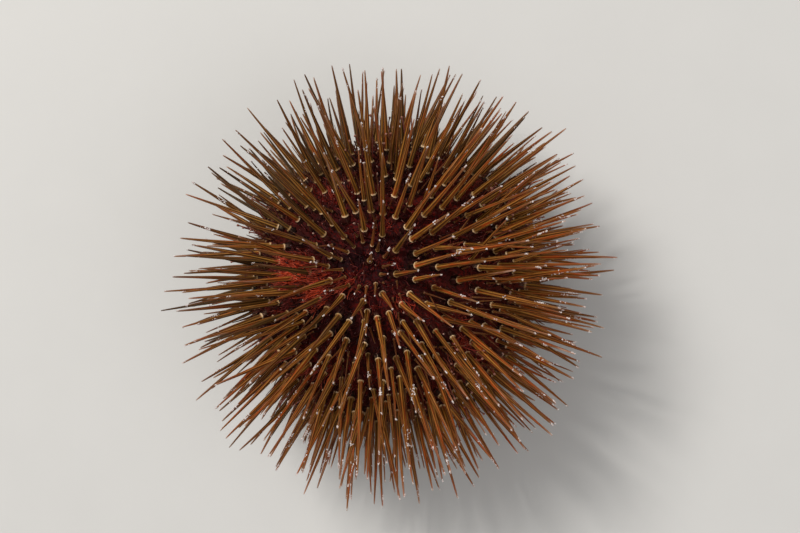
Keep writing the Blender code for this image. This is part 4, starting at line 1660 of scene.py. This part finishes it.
def thread_look(name, specular, dark_low, dark_high, red_low, red_high, tip):
    """Fine threads from near black to red, where the skin is red, with tips of their own."""
    look = Look(name, Specular_IOR_Level=specular)
    dark = look.mix(look.band("tone", 0.35, 1.0), dark_low, dark_high)
    red = look.mix("tone", red_low, red_high)
    colour = look.layers(
        look.mix(look.band("red", 0.15, 0.8), dark, red),
        (look.times(look.flank(), 0.42), THREAD_FLANK),
        (look.times(look.band("along", 0.72, 1.0), look.band("tone", 0.55, 1.0, 0.0, 0.7)), tip),
    )
    return look.finish_soft(colour, *THREAD_GRAIN)


def feet_look():
    """Soft reddish-brown tube feet with paler discs."""
    look = Look("tube_foot", Specular_IOR_Level=0.6)
    colour = look.layers(
        look.mix("tone", *FOOT_COLOURS),
        (look.times("red", 0.6), FOOT_RED),
        (look.band("along", 0.90, 0.97), FOOT_DISC),
    )
    return look.finish_soft(colour, *FOOT_GRAIN)


def pincer_look():
    """Pedicellariae with dark stalks and pale reddish heads."""
    look = Look("pincer", Specular_IOR_Level=0.5)
    stalk = look.mix("red", *STALK_COLOURS)
    head = look.mix(look.band("tone", 0.62, 0.95), *HEAD_COLOURS)
    colour = look.mix(look.band("along", 0.66, 0.78), stalk, head)
    return look.finish_soft(colour, *PINCER_GRAIN)


def growth_look():
    """Chalky white and pale pink growth."""
    look = Look("growth", Specular_IOR_Level=0.5)
    grain = look.noise(look.place(), GROWTH_GRAINS)
    colour = look.mix("tone", *GROWTH_COLOURS)
    colour = look.mix(look.times(look.band(grain, 0.45, 0.7), 0.5), colour, GROWTH_PINK)
    return look.finish(colour, grain, (0.35, 0.65), 0.00006, 0.8)


def skin_look(name):
    """Damp dark skin with a fine grain and red patches."""
    dark, light, rough, specular, flank = SKINS[name]
    look = Look(name, Specular_IOR_Level=specular)
    place = look.place()
    grain = look.noise(place, SKIN_GRAINS, 4.0)
    warts = look.cells(place, SKIN_WARTS)
    blotches = look.noise(place, SKIN_BLOTCHES, 4.0)
    colour = look.mix(look.band(blotches, 0.35, 0.65), dark, light)
    if flank is not None:
        colour = look.mix(look.times(look.flank(), 0.5), colour, flank)
    colour = look.layers(
        colour,
        (
            look.times("red", look.band(grain, 0.40, 0.58, 0.25, 1.0)),
            look.mix(look.band(grain, 0.42, 0.6), *SKIN_REDS),
        ),
        (look.times(look.band("relief", 0.3, 1.0), 0.35), light),
        (look.times(look.band(warts, 0.5, 0.15), 0.15), WART_COLOUR),
    )
    height = look.plus(look.times(grain, 0.6), look.times(warts, -0.7))
    return look.finish(colour, grain, rough, 0.00016, 0.7, height)


def teeth_look():
    """Hard cream teeth with fine lines along them, a little brown where they leave the jaws."""
    look = Look("tooth", Specular_IOR_Level=0.6, Coat_Weight=0.2)
    lines = look.noise(look.place(), TOOTH_GRAINS)
    colour = look.ramp("along", TOOTH_STOPS)
    colour = look.mix(look.times(look.band(lines, 0.5, 0.7), 0.3), colour, TOOTH_BROWN)
    return look.finish(colour, lines, (0.22, 0.4), 0.00004)


def floor_look():
    """Plain pale matt floor."""
    look = Look("floor")
    grain = look.noise(look.place(), FLOOR_GRAINS)
    return look.finish(look.mix(grain, *FLOOR_COLOURS), grain, (0.75, 0.85))


# Stage, lights and camera.


def add_stage():
    mesh = bpy.data.meshes.new("floor")
    corners = [(x * FLOOR_REACH, y * FLOOR_REACH, 0) for x, y in ((-1, -1), (1, -1), (1, 1), (-1, 1))]
    mesh.from_pydata(corners, [], [(0, 1, 2, 3)])
    mesh.materials.append(floor_look())
    add_object("floor", mesh)


def aim(obj, target):
    """Turns a camera or light so that it looks at target, with its top towards +Y."""
    back = (obj.location - Vector(target)).normalized()
    right = Vector((0.0, 1.0, 0.0)).cross(back).normalized()
    obj.rotation_euler = Matrix((right, back.cross(right), back)).transposed().to_euler()


def add_lights():
    for name, place, size, power, colour in LIGHTS:
        light = bpy.data.lights.new(name, "AREA")
        light.shape = "DISK"
        light.size = size
        light.energy = power
        light.color = colour
        made = add_object(name, light)
        made.location = place
        aim(made, LIGHTS_TARGET)
    world = bpy.data.worlds.new("studio")
    world.use_nodes = True
    sky = world.node_tree.nodes["Background"]
    sky.inputs["Color"].default_value = WORLD_COLOUR
    sky.inputs["Strength"].default_value = WORLD_STRENGTH
    bpy.context.scene.world = world
    bpy.context.scene.view_settings.view_transform = "Standard"


def add_camera():
    camera = bpy.data.cameras.new("camera")
    camera.lens = CAMERA_LENS
    camera.clip_start = CAMERA_NEAREST
    made = add_object("camera", camera)
    level = math.cos(CAMERA_ELEVATION)
    back = Vector(on_circle(level, CAMERA_TURN, math.sin(CAMERA_ELEVATION)))
    made.location = Vector(CAMERA_TARGET) + back * CAMERA_DISTANCE
    aim(made, CAMERA_TARGET)
    bpy.context.scene.camera = made


def own(piece):
    """Puts a piece on the root body."""
    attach(piece, "root")


def add_all_spines(grown, look, rng):
    """Long spines in one object for each sector, and further ones in one for each ray."""
    for name in [name for name, _, _ in sectors()] + ["apical_disc"]:
        here = [s for s in grown[0] if s["sector"] == name]
        if name == "apical_disc":
            here = [{**s, "thick": s["thick"] * APICAL_SLIMNESS} for s in here]
        own(add_spines(f"spines_{name}", here, look, rng))
    for number in range(1, RAYS + 1):
        for kind, group in zip(FURTHER_SPINES, grown[1:]):
            here = [s for s in group if s["sector"].endswith(f"_{number}")]
            name = f"{kind['name']}_{number}"
            own(add_spines(name, here, look, rng, kind["sides"], kind["step"]))


def main():
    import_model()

    draws = np.random.default_rng(SEED)
    spines = sector_spines(draws) + apical_spines(draws)
    spread_apart(spines)
    rng = np.random.default_rng(SEED + 1)
    grown = [spines]
    for kind in FURTHER_SPINES:
        group = more_spines(rng, kind, grown)
        spread_apart(group, sum(grown, []), kind["rounds"], kind["clearance"])
        grown.append(group)
    _, more, short = grown
    fine, feet, pincers = [throw_roots(rng, kind, grown) for kind in (FINE_SPINES, FEET, PINCERS)]

    add_all_spines(grown, spine_look(), rng)
    own(add_fine_spines(fine, thread_look("fine_spine", *FINE_LOOK), rng))
    fibre = thread_look("fibre", *FIBRE_LOOK)
    for number in range(1, FIBRE_PIECES + 1):
        own(add_fibres(f"fibres_{number}", FIBRES, fibre, rng))
    own(add_fibres("red_fibres", RED_FIBRES, fibre, rng))
    own(add_tube_feet(feet, feet_look(), rng))
    own(add_pincers(pincers, pincer_look(), rng))
    own(add_growth(spines + more, growth_look(), rng))

    roots, small_roots = [columns(group, "root")[0] for group in (spines + more, short)]
    skin = add_test_skin(roots, small_roots, skin_look("test_skin"))
    own(skin)
    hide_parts(*[name for name, _, _ in sectors()])
    apical_roots = columns([s for s in spines if s["sector"] == "apical_disc"], "root")[0]
    plates = add_vent_plates(apical_roots, skin_look("plates"), rng)
    own(plates)
    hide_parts("apical_disc", "periproct")
    mouth = add_mouth_skin(skin_look("membrane"))
    own(mouth)
    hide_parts("peristome")
    own(add_buccal_feet(feet_look(), rng))
    own(add_gills(pincer_look(), rng))
    tip = add_lantern_tip(skin_look("jaws"))
    own(tip)
    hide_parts("lantern_teeth")
    own(add_teeth(teeth_look()))

    add_stage()
    add_lights()
    add_camera()


main()
